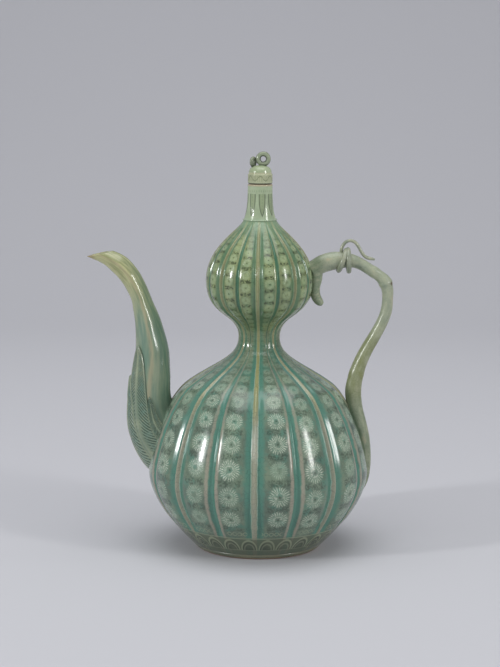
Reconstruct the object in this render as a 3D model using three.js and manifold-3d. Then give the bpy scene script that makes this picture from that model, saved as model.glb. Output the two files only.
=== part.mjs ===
// Celadon double gourd ewer with its lid, in millimetres, +Z up, front towards -Y, handle towards +X.
import * as THREE from "three";
import { mergeVertices } from "three/addons/utils/BufferGeometryUtils.js";
import Module from "manifold-3d";

const wasm = await Module();
wasm.setup();

// Driving dimensions: the foot
const footRadius = 55.5;
const footRingHeight = 5;
const footRingWidth = 7.5;
const footEdge = 0.8;
const baseThickness = 6;

// Driving dimensions: the two bulbs, by the radius and height where each is widest or narrowest
const bellyRadius = 99.5;
const bellyHeight = 71;
const shoulderRadius = 70;
const shoulderHeight = 150;
const waistRadius = 20;
const waistHeight = 197;
const bulbRadius = 50.4;
const bulbHeight = 246;
const collarRadius = 16.3;
const collarHeight = 299;
const bulbWall = 5.5;

// Driving dimensions: the ribs, raised ridges with a groove half way between each two
const ribCount = 8;
const ribTurn = THREE.MathUtils.degToRad(-2.3);
const ribDepth = 2.2;
const ribProud = 0.5;
const ribHalfWidthLeast = 1.2;
const ribHalfWidthGain = 2.2;
const ribStart = 20;
const ribFade = 14;

// Driving dimensions: the neck and the lid
const neckLength = 32.5;
const neckThroatLength = 12;
const mouthRadius = 11.8;
const boreRadius = 8.4;
const beadRadius = 1.3;
const lidSeatGap = 0.3;
const lidDomeHeight = 16.5;
const plugClearance = 0.8;
const plugLength = 15;
const largeLoopRadius = 4.9;
const largeLoopCord = 1.8;
const largeLoopOffset = 3.1;
const smallLoopRadius = 3.4;
const smallLoopCord = 1.6;
const smallLoopOffset = -6.2;
const smallLoopTurn = THREE.MathUtils.degToRad(66);
const loopSink = 1.2;

// Driving dimensions: what is luted on
const luteGap = 0.3;
const ribbedLuteGap = 0.45;
const spoutJointDrawn = 191;
const tieCord = 2.6;
const tieLoopCord = 1.5;

const smoothstep = THREE.MathUtils.smoothstep;
const lerp = THREE.MathUtils.lerp;
const mouthHeight = collarHeight + neckLength;

// The spout and the handle are drawn beside a gourd of these heights and radii, and keep their
// place on it when it changes
const drawnHeights = [0, 71, 197, 246, 299];
const heights = [0, bellyHeight, waistHeight, bulbHeight, collarHeight];
const bellyScale = bellyRadius / 99.5;
const bulbScale = bulbRadius / 50.4;
function heightOf(drawn) {
  const found = drawnHeights.findIndex((height) => height > drawn);
  const upper = found < 0 ? drawnHeights.length - 1 : found;
  const share = (drawn - drawnHeights[upper - 1]) / (drawnHeights[upper] - drawnHeights[upper - 1]);
  return lerp(heights[upper - 1], heights[upper], share);
}
const besideBelly = (x, z) => new THREE.Vector3(x * bellyScale, 0, heightOf(z));
const besideBoth = (x, z) => new THREE.Vector3(
  x * lerp(bellyScale, bulbScale, smoothstep(z, drawnHeights[1], drawnHeights[3])), 0, heightOf(z));

// A closed body from a merged mesh, without the triangles that shrink to a line at a pole
function solid(geometry) {
  const bare = geometry.clone();
  bare.deleteAttribute("normal");
  bare.deleteAttribute("uv");
  const merged = mergeVertices(bare, 1e-4);
  const corners = [];
  const index = merged.index.array;
  for (let i = 0; i < index.length; i += 3) {
    const [a, b, c] = [index[i], index[i + 1], index[i + 2]];
    if (a !== b && b !== c && c !== a) corners.push(a, b, c);
  }
  return new wasm.Manifold(new wasm.Mesh({
    numProp: 3,
    vertProperties: new Float32Array(merged.attributes.position.array),
    triVerts: new Uint32Array(corners),
  }));
}

// A body's surface as a geometry
function surface(body) {
  const mesh = body.getMesh();
  const geometry = new THREE.BufferGeometry();
  geometry.setAttribute("position", new THREE.BufferAttribute(mesh.vertProperties, 3));
  geometry.setIndex(new THREE.BufferAttribute(mesh.triVerts, 1));
  geometry.computeVertexNormals();
  return geometry;
}

// A closed loft: rings of equally many points, counter-clockwise seen from the last ring's side
function loft(rings) {
  const count = rings[0].length;
  const points = rings.flat();
  const middle = (ring) => ring.reduce((sum, p) => sum.add(p), new THREE.Vector3()).divideScalar(count);
  const index = [];
  for (let ring = 0; ring + 1 < rings.length; ring++) {
    for (let i = 0; i < count; i++) {
      const a = ring * count + i;
      const b = ring * count + (i + 1) % count;
      index.push(a, b, b + count, a, b + count, a + count);
    }
  }
  const top = (rings.length - 1) * count;
  for (let i = 0; i < count; i++) {
    const next = (i + 1) % count;
    index.push(points.length, next, i, points.length + 1, top + i, top + next);
  }
  points.push(middle(rings[0]), middle(rings[rings.length - 1]));
  const geometry = new THREE.BufferGeometry().setFromPoints(points);
  geometry.setIndex(index);
  return geometry;
}

// A body of revolution round the Z axis from [radius, height] pairs, foot first
function revolve(profile, segments) {
  const points = profile.map(([radius, height]) => new THREE.Vector2(radius, height));
  return solid(new THREE.LatheGeometry(points, segments).rotateX(Math.PI / 2));
}

// One stretch of an outline: a cubic that leaves and arrives in given directions, in degrees
function stretch(from, to) {
  const start = new THREE.Vector2(from.radius, from.height);
  const end = new THREE.Vector2(to.radius, to.height);
  const way = (station, pull) => new THREE.Vector2(pull, 0)
    .rotateAround(new THREE.Vector2(), THREE.MathUtils.degToRad(station.direction));
  return new THREE.CubicBezierCurve(start, start.clone().add(way(from, from.pullOut)),
    end.clone().sub(way(to, to.pullIn)), end);
}

// The parameter at which a curve, rising in y or z, reaches a height
function parameterAt(curve, height) {
  let low = 0;
  let high = 1;
  for (let step = 0; step < 40; step++) {
    const middle = (low + high) / 2;
    const point = curve.getPoint(middle);
    if ((point.z ?? point.y) < height) low = middle;
    else high = middle;
  }
  return (low + high) / 2;
}

// The outline of the two bulbs, from the foot to the collar
const foot = { radius: footRadius, height: 0, direction: 41, pullOut: 13.8 };
const belly = { radius: bellyRadius, height: bellyHeight, direction: 90, pullIn: 29, pullOut: 19 };
const shoulder = { radius: shoulderRadius, height: shoulderHeight, direction: 138, pullIn: 16.6, pullOut: 26 };
const waist = { radius: waistRadius, height: waistHeight, direction: 90, pullIn: 20, pullOut: 16.5 };
const bulb = { radius: bulbRadius, height: bulbHeight, direction: 90, pullIn: 30.5, pullOut: 22 };
const collar = { radius: collarRadius, height: collarHeight, direction: 136.4, pullIn: 20.3 };
const footToBelly = stretch(foot, belly);
const bellyToShoulder = stretch(belly, shoulder);
const shoulderToWaist = stretch(shoulder, waist);
const waistToBulb = stretch(waist, bulb);
const bulbToCollar = stretch(bulb, collar);
const footJoint = parameterAt(footToBelly, footRingHeight);

// Points of one stretch with its tangents, from a first parameter to the end
function stations(curve, steps, first = 0) {
  return Array.from({ length: steps + 1 }, (_, i) => {
    const t = first + (1 - first) * i / steps;
    return { point: curve.getPoint(t), tangent: curve.getTangent(t) };
  });
}
const lowerStations = [
  ...stations(footToBelly, 6, footJoint),
  ...stations(bellyToShoulder, 5).slice(1),
  ...stations(shoulderToWaist, 6).slice(1),
];
const upperStations = [
  ...stations(waistToBulb, 6),
  ...stations(bulbToCollar, 6).slice(1),
];

// The relief at a share of the way from a rib, 0, to the groove, 1: the rib stands in a valley,
// beside it the lobe swells to the full radius, and the groove cuts in again
function relief(radius, share) {
  const reach = radius * Math.PI / ribCount;
  const along = reach * share;
  const half = ribHalfWidthLeast + ribHalfWidthGain * radius / bellyRadius;
  const depth = ribDepth * Math.sqrt(radius / bellyRadius);
  const lobe = smoothstep(along, half, half + 0.22 * reach) * smoothstep(reach - along, 0, 0.14 * reach);
  const crest = Math.max(0, 1 - (along / half) ** 2) ** 2;
  return depth * (lobe - 1) + (depth + ribProud) * crest;
}

// One ring of a ribbed bulb; grown, it is the tool that keeps what is luted on clear of the wall
const ribShares = [-0.86, -0.5, -0.2, -0.08, 0, 0.08, 0.2, 0.5, 0.86, 1];
function ribbedRing({ x: radius, y: height }, grow) {
  const depth = smoothstep(height, ribStart, ribStart + ribFade)
    * (1 - smoothstep(height, collarHeight - ribFade, collarHeight - 1));
  const ring = [];
  for (let rib = 0; rib < ribCount; rib++) {
    for (const share of ribShares) {
      const angle = ribTurn + (rib + share / 2) * 2 * Math.PI / ribCount;
      const reach = radius + grow + depth * relief(radius, Math.abs(share));
      ring.push(new THREE.Vector3(reach * Math.cos(angle), reach * Math.sin(angle), height));
    }
  }
  return ring;
}
function ribbedBulb(profile, grow = 0) {
  return solid(loft(profile.map(({ point }) => ribbedRing(point, grow))));
}

// The inner outline of a bulb: each point set in from the outline by the wall, square to it
function insetProfile(profile) {
  return profile.map(({ point, tangent }) => [point.x - bulbWall * tangent.y, point.y + bulbWall * tangent.x]);
}

// The cavities, each running past the joint at the waist or the collar so that it opens there
const waistBore = waistRadius - bulbWall;
const floorHeight = footRingHeight + baseThickness;
const floorCurve = 3;
function lowerCavity() {
  const wall = insetProfile(lowerStations).filter(([, height]) => height > floorHeight + floorCurve);
  return revolve([
    [0, floorHeight],
    [wall[0][0] - 2 * floorCurve, floorHeight],
    ...wall,
    [waistBore, waistHeight + 1],
    [0, waistHeight + 1],
  ], 24);
}
function upperCavity() {
  const wall = insetProfile(upperStations);
  const throat = wall[wall.length - 1][0];
  return revolve([
    [0, waistHeight - 1],
    [waistBore, waistHeight - 1],
    ...wall,
    [throat, collarHeight + 1],
    [0, collarHeight + 1],
  ], 24);
}

// The foot ring carries on the outline of the belly down to the ground
function footRing() {
  const inner = footRadius - footRingWidth;
  return revolve([
    [inner + footEdge, 0],
    [footRadius - footEdge / 2, 0],
    [footRadius + footEdge / 2, footEdge],
    [footToBelly.getPoint(footJoint).x, footRingHeight],
    [inner, footRingHeight],
    [inner, footEdge],
    [inner + footEdge, 0],
  ], 40);
}

// The neck: a bead at the collar, a waist above it and a rounded rim
const throatRadius = insetProfile(upperStations).at(-1)[0];
function neck() {
  const side = new THREE.CubicBezierCurve(
    new THREE.Vector2(collarRadius - beadRadius / 2, collarHeight + 2 * beadRadius),
    new THREE.Vector2(collarRadius - 2 * beadRadius, collarHeight + 0.28 * neckLength),
    new THREE.Vector2(mouthRadius, mouthHeight - neckLength / 2),
    new THREE.Vector2(mouthRadius, mouthHeight - footEdge));
  const bead = [-90, -45, 0, 45].map((degrees) => {
    const angle = THREE.MathUtils.degToRad(degrees);
    return [collarRadius + beadRadius * Math.cos(angle), collarHeight + beadRadius * (1 + Math.sin(angle))];
  });
  return revolve([
    [throatRadius, collarHeight],
    ...bead,
    ...side.getPoints(6).map((point) => [point.x, point.y]),
    [mouthRadius - footEdge, mouthHeight],
    [boreRadius + footEdge, mouthHeight],
    [boreRadius, mouthHeight - footEdge],
    [boreRadius, collarHeight + neckThroatLength],
    [throatRadius, collarHeight],
  ], 28);
}

// A limb that runs in the X-Z plane through stations of place, half depth in that plane, half
// breadth across it and, on a hollow one, the radius of its bore
function limb(list, beside) {
  return {
    centre: new THREE.CatmullRomCurve3(list.map(({ x, z }) => beside(x, z))),
    size: new THREE.CatmullRomCurve3(list.map(({ depth, breadth, bore = 0 }) =>
      new THREE.Vector3(depth, breadth, bore).multiplyScalar(bellyScale))),
  };
}
// A point on a limb's skin: angle 0 faces the axis of the gourd on a rising limb, 90 the back
function skinPoint({ centre, size }, t, angle, lift) {
  const middle = centre.getPoint(t);
  const tangent = centre.getTangent(t);
  const { x: depth, y: breadth } = size.getPoint(t);
  const reach = (depth + lift) * Math.cos(angle);
  return new THREE.Vector3(
    middle.x + reach * tangent.z,
    (breadth + lift) * Math.sin(angle),
    middle.z - reach * tangent.x);
}
function limbBody(shape, steps, sides, grow = 0) {
  const rings = Array.from({ length: steps + 1 }, (_, step) =>
    Array.from({ length: sides }, (_, side) => skinPoint(shape, step / steps, side / sides * 2 * Math.PI, grow)));
  return solid(loft(rings));
}
function boreBody({ centre, size }, steps, sides) {
  const rings = Array.from({ length: steps + 1 }, (_, step) => {
    const bore = size.getPoint(step / steps).z;
    const round = { centre, size: { getPoint: () => new THREE.Vector3(bore, bore, 0) } };
    return Array.from({ length: sides }, (_, side) => skinPoint(round, step / steps, side / sides * 2 * Math.PI, 0));
  });
  return solid(loft(rings));
}

// The spout: a swollen root on the belly, a throat that rises and a horn that bends away
const spout = limb([
  { x: -62, z: 88, depth: 30, breadth: 25, bore: 11 },
  { x: -80, z: 96, depth: 28, breadth: 24, bore: 11 },
  { x: -93, z: 112, depth: 22.5, breadth: 20, bore: 13 },
  { x: -98, z: 136, depth: 18, breadth: 17, bore: 13.5 },
  { x: -98, z: 158, depth: 17, breadth: 16.4, bore: 13 },
  { x: -97.6, z: 180, depth: 15.9, breadth: 15.6, bore: 12 },
  { x: -100, z: 199, depth: 14.6, breadth: 14.4, bore: 11 },
  { x: -105, z: 220.6, depth: 12.6, breadth: 12.6, bore: 9.2 },
  { x: -112, z: 240.7, depth: 11.6, breadth: 11.8, bore: 8.2 },
  { x: -122.8, z: 255.6, depth: 10.2, breadth: 11, bore: 7 },
  { x: -137, z: 266.5, depth: 8.6, breadth: 10, bore: 5.4 },
  { x: -153, z: 272.5, depth: 7.4, breadth: 8.4, bore: 4.2 },
], besideBelly);
const spoutJointHeight = heightOf(spoutJointDrawn);
const mouthCutLow = besideBelly(-154.4, 265.9);
const mouthCutHigh = besideBelly(-132.7, 269.1);
const spoutSolid = limbBody(spout, 24, 16);
const spoutTool = limbBody(spout, 24, 16, luteGap);
const spoutBore = boreBody(spout, 24, 10);

// A block that takes away all above or below a height
const blockSize = 1000;
function blockAbove(height) {
  return solid(new THREE.BoxGeometry(blockSize, blockSize, blockSize).translate(0, 0, height + blockSize / 2));
}
function blockBelow(height) {
  return solid(new THREE.BoxGeometry(blockSize, blockSize, blockSize).translate(0, 0, height - blockSize / 2));
}
const mouthSlope = Math.atan2(mouthCutHigh.z - mouthCutLow.z, mouthCutHigh.x - mouthCutLow.x);
const mouthBlock = solid(new THREE.BoxGeometry(blockSize, blockSize, blockSize)
  .translate(0, 0, blockSize / 2)
  .rotateY(-mouthSlope)
  .translate(mouthCutLow.x, 0, mouthCutLow.z));

// The bulbs, and the same grown a little as tools for what sits on them
const lowerFull = ribbedBulb(lowerStations);
const upperFull = ribbedBulb(upperStations);
const lowerTool = ribbedBulb(lowerStations, ribbedLuteGap);
const upperTool = ribbedBulb(upperStations, ribbedLuteGap);
const lowerGourd = lowerFull.subtract(lowerCavity()).subtract(spoutBore);
const upperGourd = upperFull.subtract(upperCavity());
const spoutBase = spoutSolid.subtract(spoutBore).subtract(blockAbove(spoutJointHeight)).subtract(lowerTool);
const spoutHorn = spoutSolid.subtract(spoutBore).subtract(blockBelow(spoutJointHeight)).subtract(mouthBlock);

// A pointed leaf lying on the spout: broad at its root, thickest along its midrib, thin at its edge.
// Its underside starts sunk in the spout, and the spout then cuts it to fit
const leafRootDrawn = 92;
const leafEdge = 1.3;
const leafSunk = 0.6;
const leafSteps = 8;
const leafAcross = [-1, -0.6, -0.2, 0.2, 0.6, 1];
function leaf({ middle, spread, thickness, tipDrawn }) {
  const first = parameterAt(spout.centre, heightOf(leafRootDrawn));
  const last = parameterAt(spout.centre, heightOf(tipDrawn));
  const centreAngle = THREE.MathUtils.degToRad(middle);
  const rings = Array.from({ length: leafSteps + 1 }, (_, step) => {
    const share = step / leafSteps;
    const half = THREE.MathUtils.degToRad(spread) * Math.max(0.03, (1 - share) ** 0.55);
    const t = first + (last - first) * share;
    const rise = (thickness - leafEdge) * Math.max(0.15, 1 - share);
    const outer = leafAcross.map((across) => skinPoint(spout, t, centreAngle + half * across,
      leafEdge + rise * (1 - Math.abs(across)) ** 1.2));
    const inner = leafAcross.map((across) => skinPoint(spout, t, centreAngle + half * across, -leafSunk));
    return [...outer, ...inner.reverse()];
  });
  return solid(loft(rings)).subtract(spoutTool).subtract(lowerTool);
}
const leaves = {
  spout_leaf_keel: { middle: 180, spread: 28, thickness: 4.6, tipDrawn: 157 },
  spout_leaf_back_mid: { middle: 122, spread: 26, thickness: 2.4, tipDrawn: 188 },
  spout_leaf_front_mid: { middle: -122, spread: 26, thickness: 2.4, tipDrawn: 188 },
  spout_leaf_back_low: { middle: 71, spread: 21, thickness: 2.4, tipDrawn: 140 },
  spout_leaf_front_low: { middle: -71, spread: 21, thickness: 2.4, tipDrawn: 140 },
};

// The handle: a vine stalk that arches off the upper bulb, bends at a node and runs down the belly
const handle = limb([
  { x: 41, z: 250, depth: 7.2, breadth: 7.2 },
  { x: 48.5, z: 255.5, depth: 7.2, breadth: 7.2 },
  { x: 55.5, z: 260, depth: 6.8, breadth: 7 },
  { x: 64.5, z: 263.2, depth: 6.2, breadth: 6.4 },
  { x: 74, z: 264.3, depth: 5.8, breadth: 6.2 },
  { x: 83, z: 263.2, depth: 5.8, breadth: 6.2 },
  { x: 91.5, z: 259, depth: 5.9, breadth: 6.2 },
  { x: 100, z: 252.8, depth: 6.2, breadth: 6.3 },
  { x: 107, z: 247.2, depth: 6.2, breadth: 6.3 },
  { x: 112.6, z: 241.4, depth: 7.4, breadth: 6.8 },
  { x: 114.8, z: 233, depth: 6, breadth: 6.2 },
  { x: 113.8, z: 217, depth: 6, breadth: 6.2 },
  { x: 107.7, z: 197, depth: 6.2, breadth: 6.4 },
  { x: 96, z: 176, depth: 6.8, breadth: 6.8 },
  { x: 87.6, z: 157, depth: 7.6, breadth: 7.2 },
  { x: 85.4, z: 142.5, depth: 7.8, breadth: 7.4 },
  { x: 88, z: 127.5, depth: 7.2, breadth: 7.4 },
  { x: 92.1, z: 114, depth: 6.5, breadth: 7.2 },
  { x: 95.4, z: 100.8, depth: 6, breadth: 6.8 },
  { x: 97.6, z: 87.5, depth: 5.2, breadth: 6.2 },
  { x: 98.2, z: 73.5, depth: 4.4, breadth: 5.4 },
  { x: 96.8, z: 60.5, depth: 3.6, breadth: 4.4 },
  { x: 92.5, z: 48.5, depth: 2.2, breadth: 2.8 },
], besideBoth);
const handleTool = limbBody(handle, 38, 10, luteGap);
const handleStalk = limbBody(handle, 38, 10).subtract(upperTool).subtract(lowerTool);

// The spur: the cut end of the vine, hanging against the bulb and curling out at its tip
const spur = limb([
  { x: 49.6, z: 252, depth: 5, breadth: 5.4 },
  { x: 50.4, z: 245, depth: 4.8, breadth: 5.4 },
  { x: 51.6, z: 238, depth: 4.8, breadth: 5.2 },
  { x: 53.2, z: 231, depth: 4.2, breadth: 4.6 },
  { x: 55.4, z: 226, depth: 2.6, breadth: 3 },
  { x: 57.4, z: 223.8, depth: 1.2, breadth: 1.4 },
], besideBoth);
const handleSpur = limbBody(spur, 8, 8).subtract(upperTool).subtract(handleTool);

// The tie: two turns of rolled clay round the arch, the first slanting across the second
const tieTurns = [{ along: 75.2, slant: 18 }, { along: 80.2, slant: -4 }];
const archDrawnHeight = 263.9;
const archRadius = 5.8 * bellyScale;
function tieBody(grow) {
  return tieTurns
    .map(({ along, slant }) => solid(new THREE.TorusGeometry(archRadius + luteGap + tieCord, tieCord + grow, 8, 18)
      .rotateY(Math.PI / 2 + THREE.MathUtils.degToRad(slant))
      .translate(...besideBoth(along, archDrawnHeight))))
    .reduce((sum, turn) => sum.add(turn));
}
const handleTie = tieBody(0).subtract(handleTool);

// The tie's loop: one thin cord that stands up from the tie, comes down and ends in a curled tail
const tieLoopRoute = new THREE.CatmullRomCurve3([
  [73.4, 269], [73.6, 272.5], [74.8, 276.4], [77.6, 279.9], [81.8, 281.3], [86.2, 279.8], [89.8, 275.9],
  [91.9, 271.2], [93.6, 267.3], [96.4, 264.6], [99.4, 263.5], [102, 265.2],
].map(([x, z]) => besideBoth(x, z)));
const cordSection = new THREE.Shape().absarc(0, 0, tieLoopCord, 0, 2 * Math.PI);
const tieLoop = solid(new THREE.ExtrudeGeometry(cordSection, {
  extrudePath: tieLoopRoute,
  steps: 30,
  curveSegments: 3,
})).subtract(handleTool).subtract(tieBody(luteGap));

// The lid: a low dome on a tenon, with an upright ring and a smaller one turned beside it
const lidSeat = mouthHeight + lidSeatGap;
const lidEdge = mouthRadius - 0.3;
function domeProfile(grow) {
  const rise = 3;
  const dome = new THREE.CubicBezierCurve(
    new THREE.Vector2(lidEdge + grow, lidSeat + rise),
    new THREE.Vector2(lidEdge + grow, lidSeat + 0.7 * lidDomeHeight),
    new THREE.Vector2(0.72 * lidEdge, lidSeat + lidDomeHeight + grow),
    new THREE.Vector2(0, lidSeat + lidDomeHeight + grow));
  return [[0, lidSeat], [lidEdge - footEdge, lidSeat], [lidEdge + grow, lidSeat + footEdge],
    ...dome.getPoints(7).map((point) => [point.x, point.y])];
}
function domeHeightAt(distance) {
  const dome = domeProfile(0).slice(3);
  const after = dome.findIndex(([radius]) => radius <= distance);
  const [outer, inner] = [dome[after - 1], dome[after]];
  const share = (outer[0] - distance) / (outer[0] - inner[0]);
  return outer[1] + share * (inner[1] - outer[1]);
}
const lidCap = revolve(domeProfile(0), 24);
const lidTool = revolve(domeProfile(luteGap), 24);
const plugRadius = boreRadius - plugClearance;
const lidPlug = revolve([
  [0, lidSeat - plugLength],
  [plugRadius - 2 * footEdge, lidSeat - plugLength],
  [plugRadius, lidSeat - plugLength + 2 * footEdge],
  [plugRadius, lidSeat],
  [0, lidSeat],
], 20);
function lidLoop(radius, cord, offset, turn) {
  const height = domeHeightAt(Math.abs(offset)) + radius + cord - loopSink;
  return solid(new THREE.TorusGeometry(radius, cord, 8, 20)
    .rotateX(Math.PI / 2)
    .rotateZ(turn)
    .translate(offset, 0, height)).subtract(lidTool);
}
const largeLoop = lidLoop(largeLoopRadius, largeLoopCord, largeLoopOffset, 0);
const smallLoop = lidLoop(smallLoopRadius, smallLoopCord, smallLoopOffset, smallLoopTurn);

// Glazes, by colour over the pale grey stoneware
function glaze(color, roughness = 0.22) {
  return new THREE.MeshStandardMaterial({ color, roughness, metalness: 0 });
}
const tealGlaze = glaze("#6f8f86");
const greenGlaze = glaze("#8a9a72");
const oliveGlaze = glaze("#86885a");
const greyGlaze = glaze("#8b8f78");
const paleGlaze = glaze("#a3ab8c");
const footGlaze = glaze("#8c8468", 0.4);

const ewer = new THREE.Group();
function place(name, body, material) {
  const mesh = new THREE.Mesh(surface(body), material);
  mesh.name = name;
  ewer.add(mesh);
}
place("foot_ring", footRing(), footGlaze);
place("lower_gourd", lowerGourd, tealGlaze);
place("upper_gourd", upperGourd, greenGlaze);
place("neck", neck(), paleGlaze);
place("spout_base", spoutBase, greenGlaze);
place("spout_horn", spoutHorn, oliveGlaze);
for (const [name, shape] of Object.entries(leaves)) place(name, leaf(shape), greenGlaze);
place("handle_stalk", handleStalk, greyGlaze);
place("handle_spur", handleSpur, greyGlaze);
place("handle_tie", handleTie, greyGlaze);
place("tie_loop", tieLoop, paleGlaze);
place("lid_cap", lidCap, paleGlaze);
place("lid_plug", lidPlug, footGlaze);
place("lid_loop_large", largeLoop, paleGlaze);
place("lid_loop_small", smallLoop, paleGlaze);

// The origin is under the middle of the whole outline, so the gourd's axis stands a little beside it
const bounds = new THREE.Box3().setFromObject(ewer);
ewer.position.x = -(bounds.min.x + bounds.max.x) / 2;

export default ewer;
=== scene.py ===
"""A celadon double gourd ewer with its lid, dressed for the photograph's camera.

Lengths are millimetres from the gourd's axis until a mesh is written, where they become metres
in the model's frame. Every surface is a grid of points worked out as whole arrays.
"""
import math

import bmesh
import bpy
import numpy as np
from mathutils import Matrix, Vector


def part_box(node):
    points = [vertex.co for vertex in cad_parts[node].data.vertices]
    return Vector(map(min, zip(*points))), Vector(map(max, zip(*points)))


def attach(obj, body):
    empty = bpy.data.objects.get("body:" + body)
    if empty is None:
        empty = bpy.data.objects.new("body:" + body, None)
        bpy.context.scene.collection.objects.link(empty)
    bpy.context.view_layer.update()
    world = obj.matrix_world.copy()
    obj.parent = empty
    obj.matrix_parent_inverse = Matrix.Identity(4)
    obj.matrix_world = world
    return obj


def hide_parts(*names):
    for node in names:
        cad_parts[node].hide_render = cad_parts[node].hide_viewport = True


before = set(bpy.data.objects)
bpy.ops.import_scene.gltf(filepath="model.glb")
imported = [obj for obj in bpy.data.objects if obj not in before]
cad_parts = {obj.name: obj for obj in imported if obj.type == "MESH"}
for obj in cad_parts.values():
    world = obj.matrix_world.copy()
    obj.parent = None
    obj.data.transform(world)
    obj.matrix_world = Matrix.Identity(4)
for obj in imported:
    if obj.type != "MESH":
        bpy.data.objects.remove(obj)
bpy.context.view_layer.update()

MM = 0.001
NECK_LOW, NECK_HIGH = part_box("neck")
AXIS_X = (NECK_LOW[0] + NECK_HIGH[0]) / 2 / MM

# The foot, the two bulbs and the neck
FOOT_RADIUS = 55.5
FOOT_RING_HEIGHT = 5.0
FOOT_RING_WIDTH = 7.5
BASE_THICKNESS = 6.0
BELLY_RADIUS = 99.5
BULB_WALL = 5.2
COLLAR_RADIUS = 14.9
COLLAR_HEIGHT = 299.0
WAIST_HEIGHT = 193.0
MOUTH_RADIUS = 11.2
MOUTH_HEIGHT = 331.5
BORE_RADIUS = 8.0
THROAT_HEIGHT = 311.0
BEAD_RADIUS = 0.6

# The outline by its stations: radius, height, direction in degrees, and how far the curve
# is pulled along that direction before and after the station
FOOT = (FOOT_RADIUS, 0.0, 43.0, 0.0, 13.8)
BELLY = (BELLY_RADIUS, 71.0, 90.0, 29.0, 19.0)
SHOULDER = (66.2, 150.0, 143.5, 22.0, 30.8)
WAIST = (18.6, WAIST_HEIGHT, 90.0, 19.2, 22.6)
BULB = (48.0, 243.6, 90.0, 32.6, 30.5)
COLLAR = (COLLAR_RADIUS, COLLAR_HEIGHT, 115.0, 12.2, 0.0)

# The ribs: raised ridges, with a groove half way between each two
RIBS = 8
RIB_TURN = math.radians(-2.3)
HALF_SECTORS = 2 * RIBS
RIB_START = 20.0
RIB_FADE = 14.0


def smooth(value, low, high):
    """Zero up to low, one from high, and 3s^2 - 2s^3 between, where s is the share of the way."""
    share = np.clip((value - low) / (high - low), 0.0, 1.0)
    return share * share * (3.0 - 2.0 * share)


def cubic(start, start_pull, end_pull, end, share):
    """Points of a cubic Bezier: the sum of its four corners weighted by Bernstein's terms."""
    share = share[:, None]
    rest = 1.0 - share
    corners = np.array([start, start_pull, end_pull, end])
    return (rest ** 3 * corners[0] + 3 * rest ** 2 * share * corners[1]
            + 3 * rest * share ** 2 * corners[2] + share ** 3 * corners[3])


def stretch(before, after, steps):
    """One stretch of the outline as (radius, height) points: a cubic whose pulls run along
    the direction of the station at each end."""
    start = np.array(before[:2])
    end = np.array(after[:2])
    leave = math.radians(before[2])
    arrive = math.radians(after[2])
    pull_out = start + before[4] * np.array([math.cos(leave), math.sin(leave)])
    pull_in = end - after[3] * np.array([math.cos(arrive), math.sin(arrive)])
    return cubic(start, pull_out, pull_in, end, np.linspace(0.0, 1.0, steps + 1))


def joined(*parts):
    """Stretches end to end, each shared point written once."""
    return np.vstack([parts[0]] + [part[1:] for part in parts[1:]])


def even(profile, steps):
    """The same line with its points spread evenly: each coordinate interpolated over length."""
    length = np.concatenate([[0.0], np.cumsum(np.hypot(*np.diff(profile, axis=0).T))])
    places = np.linspace(0.0, length[-1], steps + 1)
    return np.stack([np.interp(places, length, profile[:, axis]) for axis in range(2)], axis=1)


LOWER_LINE = joined(stretch(FOOT, BELLY, 200), stretch(BELLY, SHOULDER, 200),
                    stretch(SHOULDER, WAIST, 200))
UPPER_LINE = joined(stretch(WAIST, BULB, 200), stretch(BULB, COLLAR, 200))
FOOT_JOINT_RADIUS = float(np.interp(FOOT_RING_HEIGHT, LOWER_LINE[:200, 1], LOWER_LINE[:200, 0]))
WHOLE_LINE = joined(LOWER_LINE, UPPER_LINE)


def outline_radius(height):
    """The radius of the two bulbs at a height, without the ribs."""
    return np.interp(height, WHOLE_LINE[:, 1], WHOLE_LINE[:, 0])


def inset(profile, wall):
    """A line moved inwards by the wall, square to its own direction."""
    slope = np.gradient(profile, axis=0)
    slope /= np.hypot(slope[:, 0], slope[:, 1])[:, None]
    return np.stack([profile[:, 0] - wall * slope[:, 1], profile[:, 1] + wall * slope[:, 0]], axis=1)


def relief(radius, share):
    """Height of the ribbed wall over the outline, at a share of the arc from a rib to a groove:
    depth * (valley * groove - 1) + crest * (1 - (s / half)^2)^2 + bulge * sin(pi * t)^1.5, where
    valley and groove are smooth steps and t runs across the lobe between them."""
    reach = radius * math.pi / RIBS
    along = reach * share
    half = 1.2 + 2.2 * radius / BELLY_RADIUS
    depth = 2.3 * np.sqrt(radius / BELLY_RADIUS)
    valley_end = half + 0.22 * reach
    valley = smooth(along, half, valley_end)
    groove = smooth(reach - along, 0.0, 0.13 * reach)
    crest = np.clip(1.0 - (along / half) ** 2, 0.0, 1.0) ** 2
    across = np.clip((along - half) / (reach - half), 0.0, 1.0)
    bulge = 0.35 * depth * np.sin(math.pi * across) ** 1.5
    return depth * (valley * groove - 1.0) + (depth + 0.5) * crest + bulge


def rib_depth(height):
    """How strongly the ribs stand at a height: they fade over the petal band and at the collar,
    and sink to 1 - 0.8 exp(-((z - 185) / 20)^2) of themselves below the waist."""
    start = smooth(height, RIB_START, RIB_START + RIB_FADE)
    waist = 1.0 - 0.8 * np.exp(-((height - WAIST_HEIGHT + 8.0) / 20.0) ** 2)
    return start * waist * (1.0 - smooth(height, COLLAR_HEIGHT - RIB_FADE, COLLAR_HEIGHT - 1.0))


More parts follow.
